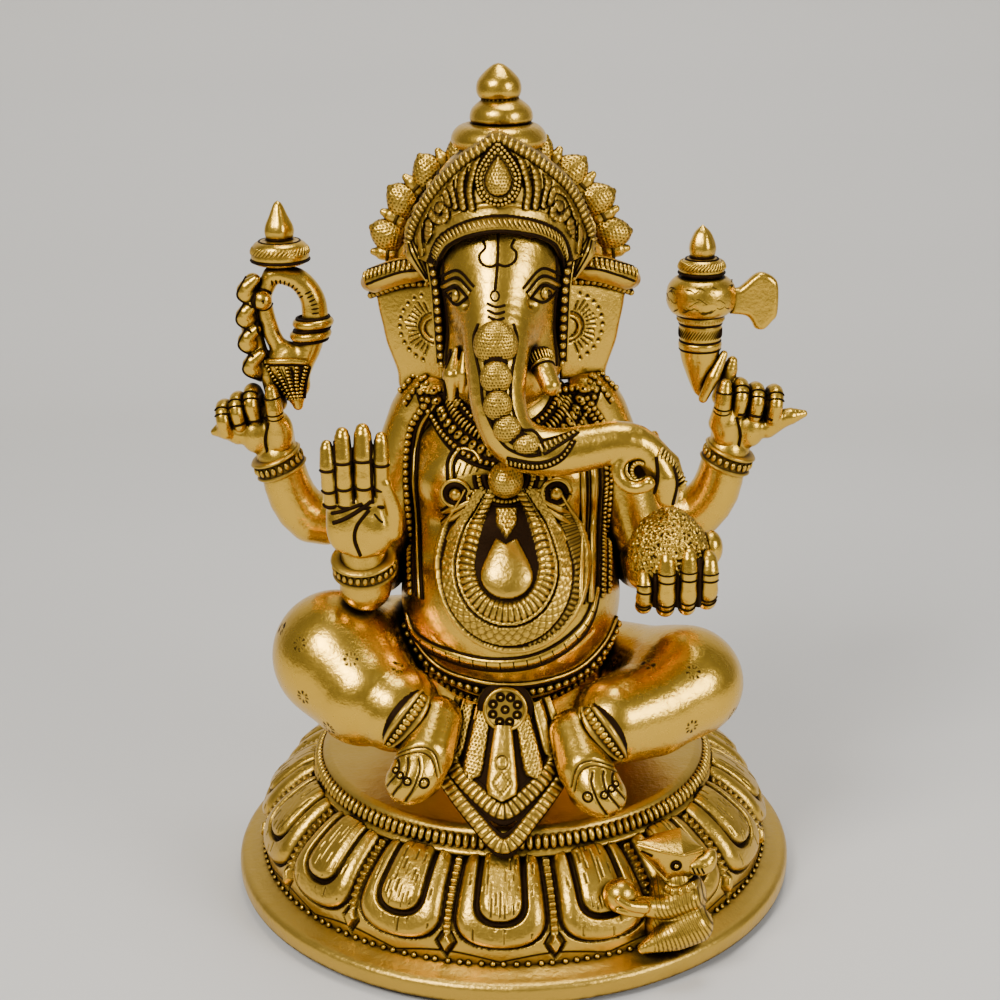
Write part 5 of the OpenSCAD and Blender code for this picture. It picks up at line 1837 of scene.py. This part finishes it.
def build_blessing_hand():
    """The raised right hand, palm forward: jointed fingers, the cut lines of the palm and the thumb's pad."""
    low, high = box("right_front_hand")
    c = (low + high) / 2 - point(1.0, 0, 0)
    top = high[2]
    y = low[1] + 5.0
    clay = Clay(low - 4, high + 4, 0.33)
    palm = [(-9.7, top - 21), (-9.8, top - 29), (-7.6, top - 35), (-2, top - 38.5), (4.0, top - 38),
            (9.6, top - 33), (10.0, top - 27), (7.5, top - 22), (5.6, top - 19)]
    palm = np.array(palm) + point(c[0], 0)
    plate = slab_of(low - 4, high + 4, 0.33, spline(np.vstack([palm, palm[:1]]), 60),
                    lambda x, z: y + 1.5 + 0.02 * (x - c[0])**2, 8.0, 2.6)
    clay.field = plate.field
    clay.egg(point(c[0] + 4.8, y - 0.6, top - 30.5), (4.6, 3.6, 6.8), 2)
    clay.egg(point(c[0] - 5.2, y - 0.2, top - 30.0), (4.3, 3.2, 6.5), 2)
    fingers = [(-8.4, top - 2.4, 2.2), (-4.0, top + 1.4, 2.6), (1.6, top + 2.5, 2.8), (6.6, top - 0.2, 2.3)]
    paths = []
    for dx, tip, radius in fingers:
        path = [point(c[0] + dx * 0.96, y + 0.4, top - 22), point(c[0] + dx, y - 1.6, top - 13),
                point(c[0] + dx * 1.02, y - 0.6, tip - radius)]
        finger(clay, path, radius)
        paths.append((path, radius))
    thumb = [point(c[0] + 9.0, y + 0.4, top - 31), point(c[0] + 9.6, y - 1.2, top - 24),
             point(c[0] + 7.6, y - 2.2, top - 16)]
    clay.limb(spline(thumb, 10), np.linspace(2.9, 1.7, 10), 1)
    heap = Heap()
    skin = heap.shell_of(clay)
    for path, radius in paths:
        creases(heap, path, radius, (0.30, 0.63), thick=0.45)
        creases(heap, path, radius, (0.02,), thick=0.6)
    for x in (-6.3, -1.5, 3.9):
        line_on(heap, skin, [(c[0] + x, top - 21.5), (c[0] + x * 0.98, top - 12), (c[0] + x, top - 3)], 0.65,
                1.0, -0.3)
    for line, thick in (([(-8.0, top - 24.5), (-3.5, top - 23.2), (1.0, top - 21.4)], 0.6),
                        ([(-7.6, top - 27.0), (-3.0, top - 25.2), (1.0, top - 22.7), (3.4, top - 20.8)], 0.7),
                        ([(2.8, top - 23.3), (-0.8, top - 28), (-1.6, top - 32.2), (-0.2, top - 37.2)], 0.6),
                        ([(4.2, top - 24.4), (5.6, top - 26.0), (6.6, top - 26.8)], 0.4)):
        line_on(heap, skin, [(c[0] + x, z) for x, z in line], thick, 1.0, -0.15)
    heap.piece("right_front_hand_palm", SKIN, "cast_skin", "right_front_hand")
    c = middle("right_front_bangle")
    clay = Clay(c - 14, c + 14, 0.4)
    clay.limb([c + point(-0.8, 1.5, -7), c + point(-0.8, 0, 0), c + point(-0.8, -0.5, 8)], (7.6, 7.0, 6.2), 2)
    points, faces = clay.shell()
    cast("right_front_wrist", points, faces)
    bracelet("right_front_bangle_band", "right_front_bangle", c + point(-0.8, 0, 0.4),
             point(-0.05, -0.36, 0.93), 8.8, 0.9)


def build_offering_hand():
    """The left hand under the sweet: a cupped palm with four wide jointed fingers in front, and dark tubes of
    painted shade in the gaps between them.
    """
    low, high = box("left_front_hand")
    c = (low + high) / 2
    clay = Clay(low - 6, high + 8, 0.33)
    clay.egg(point(c[0] - 0.6, c[1] + 4, low[2] + 7.5), (12.2, 12.5, 6.5), 2)
    clay.egg(point(c[0] + 10.2, c[1] + 2, low[2] + 16.0), (3.6, 4.6, 5.2), 2)
    clay.limb([point(c[0] - 10.2, c[1] + 2, low[2] + 8), point(c[0] - 9.4, c[1] - 2, low[2] + 15)],
              (3.2, 2.6), 2)
    clay.limb([point(39.5, -44.0, 105.5), point(55.5, -44.0, 106.5)], (3.2, 3.2), 1)
    clay.limb([point(40.5, -44.0, 111.0), point(55.0, -44.0, 112.5)], (3.0, 3.4), 1)
    paths = []
    for x, tip, foot, radius in ((37.8, 115.2, 102.4, 2.35), (43.9, 121.2, 102.2, 2.6),
                                 (50.0, 121.8, 102.4, 2.5), (55.9, 119.6, 103.6, 2.7)):
        y = -47.9 + 0.02 * (x - 46)**2
        path = [point(x, y + 3.0, foot), point(x, y - 0.4, foot + 5), point(x + 0.1, y - 0.2, tip - 5),
                point(x, y + 1.6, tip - 2.2)]
        finger(clay, path, radius, 0.2)
        paths.append((path, radius))
    heap = Heap()
    heap.shell_of(clay)
    for path, radius in paths:
        creases(heap, path, radius, (0.14, 0.26, 0.60, 0.72), thick=0.28)
    # Fully inked tubes in the gaps between the fingers: painted shade where the sweet behind them lies in
    # shadow.
    for x, tip in ((40.9, 113.5), (47.0, 117.8), (53.0, 118.0)):
        heap.tube([point(x, -47.4, 103.6), point(x, -48.4, 110), point(x, -47.9, tip)], 0.85, 8, 1.0)
    heap.piece("left_front_hand_and_fingers", SKIN, "cast_skin", "left_front_hand")
    low, high = box("held_modak")
    c = (low + high) / 2
    clay = Clay(low - 4, high + 4, 0.33)
    clay.egg(point(c[0] - 0.8, c[1], c[2] - 3.4), (11.4, 11.0, 13.0), 2)
    clay.limb([point(c[0] - 0.8, c[1] + 0.6, c[2] + 2), point(c[0] - 0.8, c[1] - 0.4, high[2] - 3.2)],
              (7.0, 3.2), 4)
    clay.below(c[2] - 13)
    points, faces = clay.shell()
    bumps = np.array([noise.noise(Vector(p * 1.15)) + 0.7 * noise.noise(Vector(p * 2.3)) for p in points])
    out = unit_rows(points - (c - point(0, 0, 3)))
    points = points + out * (0.75 * np.clip(bumps, -0.6, 0.5))[:, None]
    sweet = cast("held_modak_sweet", points, faces, smooth(-0.12, -0.38, bumps))
    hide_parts("held_modak")


def build_rear_arm(side):
    """An upper arm from behind the shoulder, bent upward, with its bracelet and hand."""
    name = side_name(side)
    low, high = box(name + "_rear_arm")
    wrist = middle(name + "_rear_bracelet")
    bend = wrist[0] - side * 69
    clay = Clay(low - 12, high + 12, 0.5)
    path = [point(side * 15, 11, wrist[2] + 5), point(side * 42, 16, wrist[2] - 14),
            point(side * 57 + bend, 12, wrist[2] - 20.5), point(side * 65.0 + bend, 10, wrist[2] - 13.0),
            point(wrist[0] - side * 0.4, wrist[1], wrist[2] + 1)]
    clay.limb(spline(path, 18), np.interp(np.arange(18), [0, 9, 17], [8.6, 9.0, 6.6]), 1)
    points, faces = clay.shell()
    arm = cast(name + "_rear_arm_casting", points, faces)
    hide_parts(name + "_rear_arm")
    axis = point(side * 0.34, -0.1, 0.93)
    bracelet(name + "_rear_bracelet_band", name + "_rear_bracelet", wrist + point(0, 0, -0.6), axis, 7.4)
    build_rear_hand(side, wrist)


def build_rear_hand(side, wrist):
    """A hand that grips: thumb and forefinger up, two curled fingers and the little finger held out."""
    name = side_name(side)
    low, high = box(name + "_rear_hand")
    clay = Clay(low - 5, high + 8, 0.33)
    right = side < 0

    def at(x, y, z):
        return wrist + point(side * x, y, z)

    clay.limb([at(0.5, 0, 2), at(0.8, 0, 8), at(3.5, 0.5, 12)], (6.2, 6.0, 5.4), 2, (1, 0.8, 1))
    clay.egg(at(-1.2, -3.6, 10.0), (4.3, 3.6, 6.6), 1.5)
    clay.egg(at(6.2, -2.0, 8.6), (4.6, 4.0, 5.6), 1.5)
    t = 1.2 if right else -1.1
    thumb = [at(-2.4 + t, -3.0, 11), at(-1.6 + t, -5.4, 16.5), at(-0.8 + t, -5.0, 23.5)]
    clay.limb(spline(thumb, 10), np.interp(np.arange(10), [0, 7, 9], [3.0, 2.5, 1.9]), 1)
    t = 0.0 if right else -1.8
    tip = [at(-0.5 + t, 1.0, 18), at(1.0 + t, 0.5, 24), at(2.4 + t, 0, 29.5)]
    clay.limb(spline(tip, 10), np.interp(np.arange(10), [0, 7, 9], [3.0, 2.4, 1.6]), 1)
    curled = []
    knuckles = ((6.8, 21.0, 2.6), (11.3, 18.6, 2.5), (15.6, 16.2, 2.5))
    if side > 0:
        knuckles = ((3.2, 21.0, 2.6), (8.1, 19.6, 2.5), (13.7, 18.8, 2.5))
    for x, z, radius in knuckles:
        path = [at(x - 1.4, 3.0, z - 6.5), at(x - 0.6, 1.2, z), at(x, -2.4, z + 1.2),
                at(x - 0.2, -5.0, z - 2.0), at(x - 0.8, -4.4, z - 6.0)]
        clay.limb(spline(path, 16), np.linspace(2.8, radius * 0.82, 16), 0.4)
        curled.append((path, radius))
    little = [at(11.5, -1.5, 9.0), at(15.5, -2.6, 10.6), at(18.6, -3.0, 10.1)]
    if side > 0:
        little = [at(11.5, -1.5, 9.0), at(16.5, -2.6, 12.2), at(22.3, -3.0, 13.6)]
    clay.limb(spline(little, 10), np.interp(np.arange(10), [0, 6, 9], [3.4, 2.6, 1.2]), 1)
    heap = Heap()
    skin = heap.shell_of(clay)
    creases(heap, thumb, 2.6, (0.42, 0.50, 0.86), thick=0.28)
    for path, radius in curled:
        creases(heap, path, radius * 0.95, (0.66, 0.74), thick=0.26)
    crease = [at(2.6, 0, 3.0), at(3.0, 0, 8.0), at(1.6, 0, 13.5)]
    line_on(heap, skin, [(p[0], p[2]) for p in crease], 0.5, 1.0, 0)
    gap = [at(2.0, 0, 14.5), at(7.0, 0, 14.0), at(12.5, 0, 12.6)]
    line_on(heap, skin, [(p[0], p[2]) for p in gap], 0.45, 1.0, 0)
    heap.piece(name + "_rear_hand_grip", SKIN, "cast_skin", name + "_rear_hand")


def build_noose():
    """The noose: a ticked loop and a plaited strand that meet in a tassel, under a rope cap and a bud."""
    low, high = box("noose")
    y = (low[1] + high[1]) / 2
    c = point((low[0] + high[0]) / 2, y, 175)
    clay = Clay(low - 5, high + 4, 0.35)
    loop = [(-69.0, 188.0), (-66.0, 188.3), (-61.0, 186.4), (-57.6, 181.6), (-56.8, 176.4), (-57.4, 171.5),
            (-59.2, 165.5), (-62.0, 160.5)]
    loop = np.array([(x, y, z) for x, z in loop])
    clay.limb(spline(loop, 30), np.interp(np.arange(30), [0, 6, 15, 24, 29], [2.8, 3.3, 3.9, 3.6, 3.6]), 1)
    inner = [(-70.2, 186), (-72.0, 181.5), (-71.0, 174), (-68.8, 167.5), (-65.4, 163.4), (-63.5, 160)]
    clay.limb(spline(np.array([(x, y, z) for x, z in inner]), 24), 2.6, 1)
    strand = []
    for k in range(4):
        z = 187.5 - 7.6 * k
        x = -76.2 - 0.8 * math.sin(k * 1.2)
        lobe = [point(x + 2.6, y - 2.6, z), point(x - 0.6, y - 2.0, z - 3.5),
                point(x + 1.6, y + 1.6, z - 8.2)]
        clay.limb(spline(lobe, 10), np.interp(np.arange(10), [0, 5, 9], [1.4, 3.1, 1.6]), 0.4)
        strand.append(lobe)
    clay.limb([point(-75, y + 1, 186), point(-76.3, y + 1, 172), point(-73.5, y + 1, 160)], (2.6, 3.0, 2.8),
              0.6)
    clay.egg(point(-71.9, y - 3.2, 181.2), (2.9, 2.4, 2.9), 0.6)
    clay.limb([point(-65.4, y, 161), point(-64.2, y, 154.5), point(-63.2, y - 0.6, 148)], (6.8, 5.0, 1.6),
              1.2, (1, 0.62, 1))
    heap = Heap()
    skin = heap.shell_of(clay)
    where, out = traced(skin, [(-68.8, 186.2), (-66.0, 186.4), (-62.4, 184.8), (-60.4, 182.0)], 20)
    bead_row(heap, where, out, 1.25, 0.28, 1.0, 0.35, 0, 1.0)
    where, out = traced(skin, [(-58.2, 183.4), (-56.6, 180), (-56.2, 177.2)], 14)
    bead_row(heap, where, out, 1.3, 0.28, 1.2, 0.35, 0, 1.0)
    for z, wide, tilt in ((173.6, 4.9, 0.5), (170.0, 5.0, 0.7)):
        hoop = ring_path(point(-57.5 - 0.25 * (173.6 - z), y, z), unit(point(1, 0, 0.12 * tilt)), FRONT, 4.6,
                         wide / 4.6)
        heap.tube(hoop, 1.35, 10)
        heap.cut(hoop - point(0, 0, 1.7), 0.6)
        heap.cut(hoop + point(0, 0, 1.5), 0.45)
    for x0, x1 in ((-71.6, -65.6), (-68.6, -64.7), (-65.6, -63.7), (-62.6, -62.8), (-59.9, -62.2)):
        where, out = traced(skin, [(x0, 160.8), ((x0 + x1) / 2 - 0.3, 156), (x1, 150.6)], 20)
        bead_row(heap, where, out, 1.15, 0.5, 0.85, 0.8, 0.2)
        heap.cut(where + point(1.35, 0, 0), 0.38)
    where, out = traced(skin, [(-72.6, 162.2), (-66, 162.8), (-59.6, 162.4)], 30)
    heap.tube(where, 1.0, 8)
    heap.cut(where - point(0, 0, 1.2), 0.45)
    for lobe in strand:
        line = [(lobe[0][0] - 3.2, lobe[0][2] + 0.2), (lobe[1][0] - 2.4, lobe[1][2] - 1.5),
                (lobe[2][0] - 0.2, lobe[2][2])]
        line_on(heap, skin, line, 0.38, 1.0, 0)
    line_on(heap, skin, [(-73.4, 186), (-74.0, 180), (-73.6, 172), (-71.6, 164)], 0.5, 1.0, -0.1)
    line_on(heap, skin, arc((-71.9, 181.2), 3.1, 3.1, 0, 350, 24), 0.4, 1.0, 0, 30)
    noose = heap.piece("noose_loop_and_tassel", SKIN, "cast_skin", "noose")
    noose.data.transform(Matrix.Translation((NOOSE_SHIFT_M, 0, 0)))
    build_bud("noose_cap_and_bud", "noose_finial", point(c[0] - 0.8, y, 0), 191.4, 198.6, 8.6, 210.2, 4.3)


def build_bud(name, node, c, low, cap, wide, top, radius):
    """A rope cap with a faceted bud on it, at heights low, cap and top."""
    heap = Heap()
    lathe_piece(heap, c, spline([(0.01, low), (wide * 0.8, low + 0.2), (wide * 0.97, low + 1.6),
                                 (wide, low + 3.2), (wide * 0.9, cap - 1.2), (wide * 0.6, cap),
                                 (0.01, cap + 0.3)], 40), 64)
    for ray in rays(40):
        spot = c + ray * wide * 0.93 + point(0, 0, (low + cap) / 2 + 0.9)
        heap.add(BEAD, spot, axes_at(unit(UP + 0.9 * np.cross(UP, ray)), unit(ray + 0.5 * UP), 1.9, 0.45,
                                     0.75), 0.1)
    for z, r in ((low + 1.4, 1.0), (cap - 0.4, 0.70)):
        heap.cut(ring_path(c + point(0, 0, z), point(1, 0, 0), point(0, 1, 0), wide * r), 0.42)
    bud = spline([(0.01, cap), (radius * 0.78, cap + 0.2), (radius, cap + 2.2), (radius * 0.94, cap + 4.4),
                  (radius * 0.62, cap + 7.4), (radius * 0.28, top - 0.9), (0.01, top)], 40)
    lathe_piece(heap, c, bud, 60, 5, 0.035)
    heap.cut(ring_path(c + point(0, 0, cap + 0.4), point(1, 0, 0), point(0, 1, 0), radius * 0.86), 0.4)
    heap.piece(name, SKIN, "cast_skin", node)


def build_axe():
    """The axe: a leaf-shaped grip, ticked collars, a wavy drum with the blade in its side, and a bud."""
    low, high = box("axe_shaft")
    y = (low[1] + high[1]) / 2
    c = point(middle("axe_shaft")[0] + 0.2, y, -0.8)
    heap = Heap()
    grip = [(0.01, 149.8), (1.6, 151.5), (3.6, 156), (5.4, 161), (6.1, 164.8)]
    lathe_piece(heap, c, spline(grip, 30), 60)
    stem = [(5.2, 164.8), (6.3, 165.3), (6.5, 166.8), (5.9, 167.6), (6.2, 168.2), (6.4, 172.2), (5.8, 172.9),
            (6.8, 173.4), (7.0, 174.9), (6.6, 175.8)]
    lathe_piece(heap, c, spline(stem, 60), 64)
    drum = [(6.2, 175.4), (8.6, 176.2), (10.1, 178.6), (10.4, 181.2), (9.9, 184.2), (8.2, 186.3),
            (6.0, 187.0), (0.01, 187.2)]
    lathe_piece(heap, c, spline(drum, 50), 80)
    for ray in rays(44):
        heap.add(BEAD, c + ray * 6.25 + point(0, 0, 170.2),
                 axes_at(unit(UP + 0.7 * np.cross(UP, ray)), ray, 1.9, 0.16, 0.4), 1.0)
        heap.add(BEAD, c + ray * 6.75 + point(0, 0, 174.2), axes_at(UP, ray, 0.55, 0.38, 0.5), 0.0)
    for z, r in ((165.0, 6.0), (167.5, 6.0), (172.8, 6.2), (175.7, 7.2)):
        heap.cut(ring_path(c + point(0, 0, z), point(1, 0, 0), point(0, 1, 0), r), 0.45)
    for i in range(46):
        turn = math.pi * (1.02 + 0.96 * hashed(i, 3))
        z = 177.4 + 8.0 * hashed(i, 7)
        r = float(np.interp(z, [176.2, 178.6, 181.2, 184.2, 186.3], [8.6, 10.1, 10.4, 9.9, 8.2]))
        arcs = [c + point(r * math.cos(turn + t), r * math.sin(turn + t), z + 0.9 * math.sin(9 * t + i))
                for t in np.linspace(0, 0.30, 9)]
        heap.tube(arcs, 0.14, 5, 0.9)
    heap.piece("axe_shaft_and_drum", SKIN, "cast_skin", "axe_shaft")
    ribbon = Clay(c + point(-7, -10, 146), c + point(17, 8, 170), 0.35)
    ribbon.limb([c + point(0.8, -4.6, 150.5), c + point(3.8, -4.2, 157), c + point(7.0, -2.4, 163.6)],
                (1.4, 2.0, 1.2), 0.5)
    points, faces = ribbon.shell()
    cast("axe_grip_ribbon", points, faces)
    build_bud("axe_cap_and_bud", "axe_finial", c, 186.8, 192.6, 6.8, 202.4, 4.0)
    outline = [(8.6, 182.8), (11.0, 182.6), (13.4, 184.5), (15.8, 186.6), (18.2, 187.2), (21.4, 185.7),
               (22.9, 182.9), (22.9, 174.8), (21.4, 172.3), (19.0, 169.9), (16.4, 170.2), (15.2, 172.3),
               (13.4, 174.1), (8.6, 174.8)]
    outline = spline(outline, 70) + point(c[0], 0)
    clay = slab_of(point(62, y - 6, 164), point(86, y + 6, 195), 0.3, outline, lambda x,
                   z: np.full_like(x, y), 4.2, 1.7)
    points, faces = clay.shell()
    blade = cast("axe_blade_casting", points, faces)
    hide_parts("axe_blade")


# ---- mouse ----

def build_mouse():
    """The mouse at the foot: a squat hatched body, a beaked head with ring eyes, and a sweet in its paws."""
    low, high = box("mouse_body")
    head = middle("mouse_head")
    sweet = middle("mouse_modak") - UP * 1.2
    foot = low[2] + 1.6
    c = point(45.5, -66, foot)
    clay = Clay(low - 6, point(high[0] + 6, high[1] + 6, head[2] + 6), 0.35)
    clay.limb([c + point(0, 1, 5), c + point(1.5, 1, 12), c + point(1.5, 0.5, head[2] - foot - 9.5)],
              (9.4, 8.6, 5.0), 3)
    arm = [c + point(4.5, -4, 14.2), c + point(-3, -6.5, 12.8), sweet + point(4.2, -2.0, -2.0)]
    clay.limb(spline(arm, 14), np.interp(np.arange(14), [0, 8, 13], [3.8, 3.2, 2.5]), 1)
    leg = [c + point(6, -5.5, 6.5), c + point(-1, -8, 4.6), c + point(-9, -9.5, 1.4)]
    clay.limb(spline(leg, 14), np.interp(np.arange(14), [0, 5, 13], [5.4, 4.8, 1.6]), 0.8)
    paw = [sweet + point(6.5, -3.6, -1.8), sweet + point(2.6, -5.0, -0.4), sweet + point(-0.6, -4.6, 1.4)]
    clay.limb(spline(paw, 10), np.linspace(1.8, 1.2, 10), 0.6)
    paw = [sweet + point(5.5, -3.4, -3.6), sweet + point(2.0, -4.6, -2.6), sweet + point(-0.8, -4.4, -1.8)]
    clay.limb(spline(paw, 10), np.linspace(1.5, 1.0, 10), 0.4)
    rim_top = box("base_rim")[1][2]
    clay.below(rim_top - 1.0)
    points, faces = clay.shell()
    flow = points[:, 0] + 0.35 * (points[:, 2] - foot) + 0.8 * np.sin(points[:, 2] * 0.35)
    line = off_mark(flow, 1.25)
    hatch = smooth(0.34, 0.14, line) * (points[:, 0] > c[0] - 6) * (points[:, 1] < c[1] + 4)
    heap = Heap()
    heap.skin(points, faces, 0.85 * hatch)
    heap.piece("mouse_body_and_arms", SKIN, "cast_skin", "mouse_body")
    heap = Heap()
    ridge = even([(-9.4, -1.0, 3.0), (-2.9, -4.0, 2.6), (3.5, -4.6, 1.6), (9.4, 0.2, 0.5)], 60) + head
    back = even([(-9.8, -0.4, 3.4), (-4.4, 3.0, 4.2), (3.5, 6.0, 4.4), (9.6, 0.8, 0.6)], 60) + head
    under = even([(-8.6, -1.2, 0.8), (-1.2, -3.0, -7.4), (5.9, -2.4, -7.0), (9.2, 0.2, -1.8)], 60) + head
    behind = even([(-8.0, 0.6, 0.8), (-1.2, 5.0, -7.0), (5.9, 5.0, -6.8), (9.0, 1.2, -1.8)], 60) + head
    shares = np.linspace(0, 1, 14)[:, None, None]
    for a, b, swell in ((ridge, back, 0.6 * UP), (under, ridge, 0.7 * FRONT), (behind, under, -0.3 * UP),
                        (back, behind, -FRONT)):
        heap.sheet(a + (b - a) * shares + swell * np.sin(shares * math.pi) * np.ones((1, 60, 1)))
    heap.tube(ridge, 0.5, 8)
    heap.tube(under, 0.45, 8)
    eye = head + point(1.5, -4.7, -1.9)
    out = unit(point(0.1, -1, -0.1))
    across = unit(np.cross(UP, out))
    heap.cut(ring_path(eye, across, np.cross(out, across), 1.35), 0.34)
    heap.add(BEAD, eye, axes_at(across, out, 0.8, 0.8, 0.6), 0)
    heap.cut([head + point(-8.2, -1.8, 1.6), head + point(-5.2, -3.4, 0.6)], 0.4)
    ear = Clay(head - 16, head + point(20, 14, 10), 0.33)
    lobes = [head + point(6.8, -1.5, -4.0), head + point(10.0, -0.5, -3.6), head + point(11.8, 1.0, -1.6)]
    ear.limb(spline(lobes, 10), (2.4, 2.6, 2.8, 3.0, 3.0, 3.0, 2.8, 2.6, 2.2, 1.8), 1)
    skin = heap.shell_of(ear)
    for x in (6.2, 7.5, 8.8):
        line_on(heap, skin, [(head[0] + x, head[2] - 3.2), (head[0] + x + 0.8, head[2] - 5.0)], 0.3, 1.0)
    path = [head + point(*p) for p in ((-2.0, -1.0, -9.6), (-0.4, -4.2, -9.9), (3.0, -5.0, -9.6),
                                       (6.2, -3.6, -8.8), (7.4, -1, -8.4))]
    path = spline(path, 24)
    heap.tube(path, 1.5, 8, 0.6)
    heap.cut(path - UP * 1.8, 0.8)
    bead_row(heap, path, np.tile(FRONT, (24, 1)), 2.3, 1.0, 1.6, 1.2, 0.7)
    heap.piece("mouse_head_and_collar", SKIN, "cast_skin", "mouse_head")
    clay = Clay(sweet - 9, sweet + 9, 0.33)
    clay.egg(sweet, (5.0, 4.8, 5.0), 1)
    points, faces = clay.shell()
    ball = cast("mouse_sweet", points, faces)
    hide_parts("mouse_modak")


def build_arms():
    """The hands, the rear arms, what they hold, and the mouse."""
    build_blessing_hand()
    build_offering_hand()
    for side in (-1, 1):
        build_rear_arm(side)
    build_noose()
    build_axe()
    build_mouse()


build_arms()


# ---- stage, light and camera ----

def soft_light(name, place, target, width, power, colour=(1, 1, 1)):
    """A round soft light that faces a target."""
    lamp = bpy.data.lights.new(name, "AREA")
    lamp.shape = "DISK"
    lamp.size = width
    lamp.energy = power
    lamp.color = colour
    holder = bpy.data.objects.new(name, lamp)
    holder.location = place
    holder.rotation_euler = (Vector(target) - Vector(place)).to_track_quat("-Z", "Y").to_euler()
    bpy.context.scene.collection.objects.link(holder)


def build_stage():
    """A plain pale floor that curves up behind the idol."""
    material = bpy.data.materials.new("pale_floor")
    material.use_nodes = True
    nodes, links = material.node_tree.nodes, material.node_tree.links
    shader = nodes["Principled BSDF"]
    grain = nodes.new("ShaderNodeTexNoise")
    grain.inputs["Scale"].default_value = 6.0
    tint = nodes.new("ShaderNodeValToRGB")
    tint.color_ramp.elements[0].color = (0.60, 0.585, 0.56, 1)
    tint.color_ramp.elements[1].color = (0.66, 0.65, 0.63, 1)
    links.new(grain.outputs[0], tint.inputs[0])
    links.new(tint.outputs[0], shader.inputs["Base Color"])
    shader.inputs["Roughness"].default_value = 0.8
    path = [(-1.0, 0.0), (0.35, 0.0), (0.55, 0.03), (0.68, 0.13), (0.74, 0.3), (0.76, 1.3)]
    curve = even(spline(path, 60), 60)
    width = 1.6
    vertices = [(side * width, y, z) for y, z in curve for side in (-1, 1)]
    faces = [(2 * i, 2 * i + 1, 2 * i + 3, 2 * i + 2) for i in range(len(curve) - 1)]
    mesh = bpy.data.meshes.new("floor_sweep")
    mesh.from_pydata(vertices, [], faces)
    mesh.polygons.foreach_set("use_smooth", [True] * len(faces))
    mesh.materials.append(material)
    floor = bpy.data.objects.new("floor_sweep", mesh)
    bpy.context.scene.collection.objects.link(floor)


def build_light():
    """Soft studio light: a dim even world and three round lamps."""
    world = bpy.data.worlds.new("studio")
    world.use_nodes = True
    world.node_tree.nodes["Background"].inputs["Color"].default_value = (1.0, 0.97, 0.92, 1)
    world.node_tree.nodes["Background"].inputs["Strength"].default_value = 0.24
    bpy.context.scene.world = world
    soft_light("key", (-0.55, -0.75, 0.95), (0, 0, 0.13), 0.5, 15.0, (1, 0.97, 0.92))
    soft_light("fill", (0.75, -0.6, 0.5), (0, 0, 0.12), 0.45, 6.0, (1, 0.98, 0.95))
    soft_light("top", (0.1, 0.1, 1.1), (0, 0, 0.1), 0.5, 6.0)


def build_camera():
    """From the front and a little above the crown, looking down at the figure."""
    look_down, roll_left = 19.14, -0.7
    camera = bpy.data.cameras.new("camera")
    camera.lens = 65.67
    camera.sensor_width = 36.0
    camera.shift_x = -0.0095
    holder = bpy.data.objects.new("camera", camera)
    pitch = Matrix.Rotation(math.radians(90 - look_down), 4, "X")
    roll = Matrix.Rotation(math.radians(roll_left), 4, "Z")
    holder.matrix_world = Matrix.Translation((0, -0.525, 0.3018)) @ pitch @ roll
    camera.clip_start = 0.01
    bpy.context.scene.collection.objects.link(holder)
    bpy.context.scene.camera = holder


build_stage()
build_light()
build_camera()
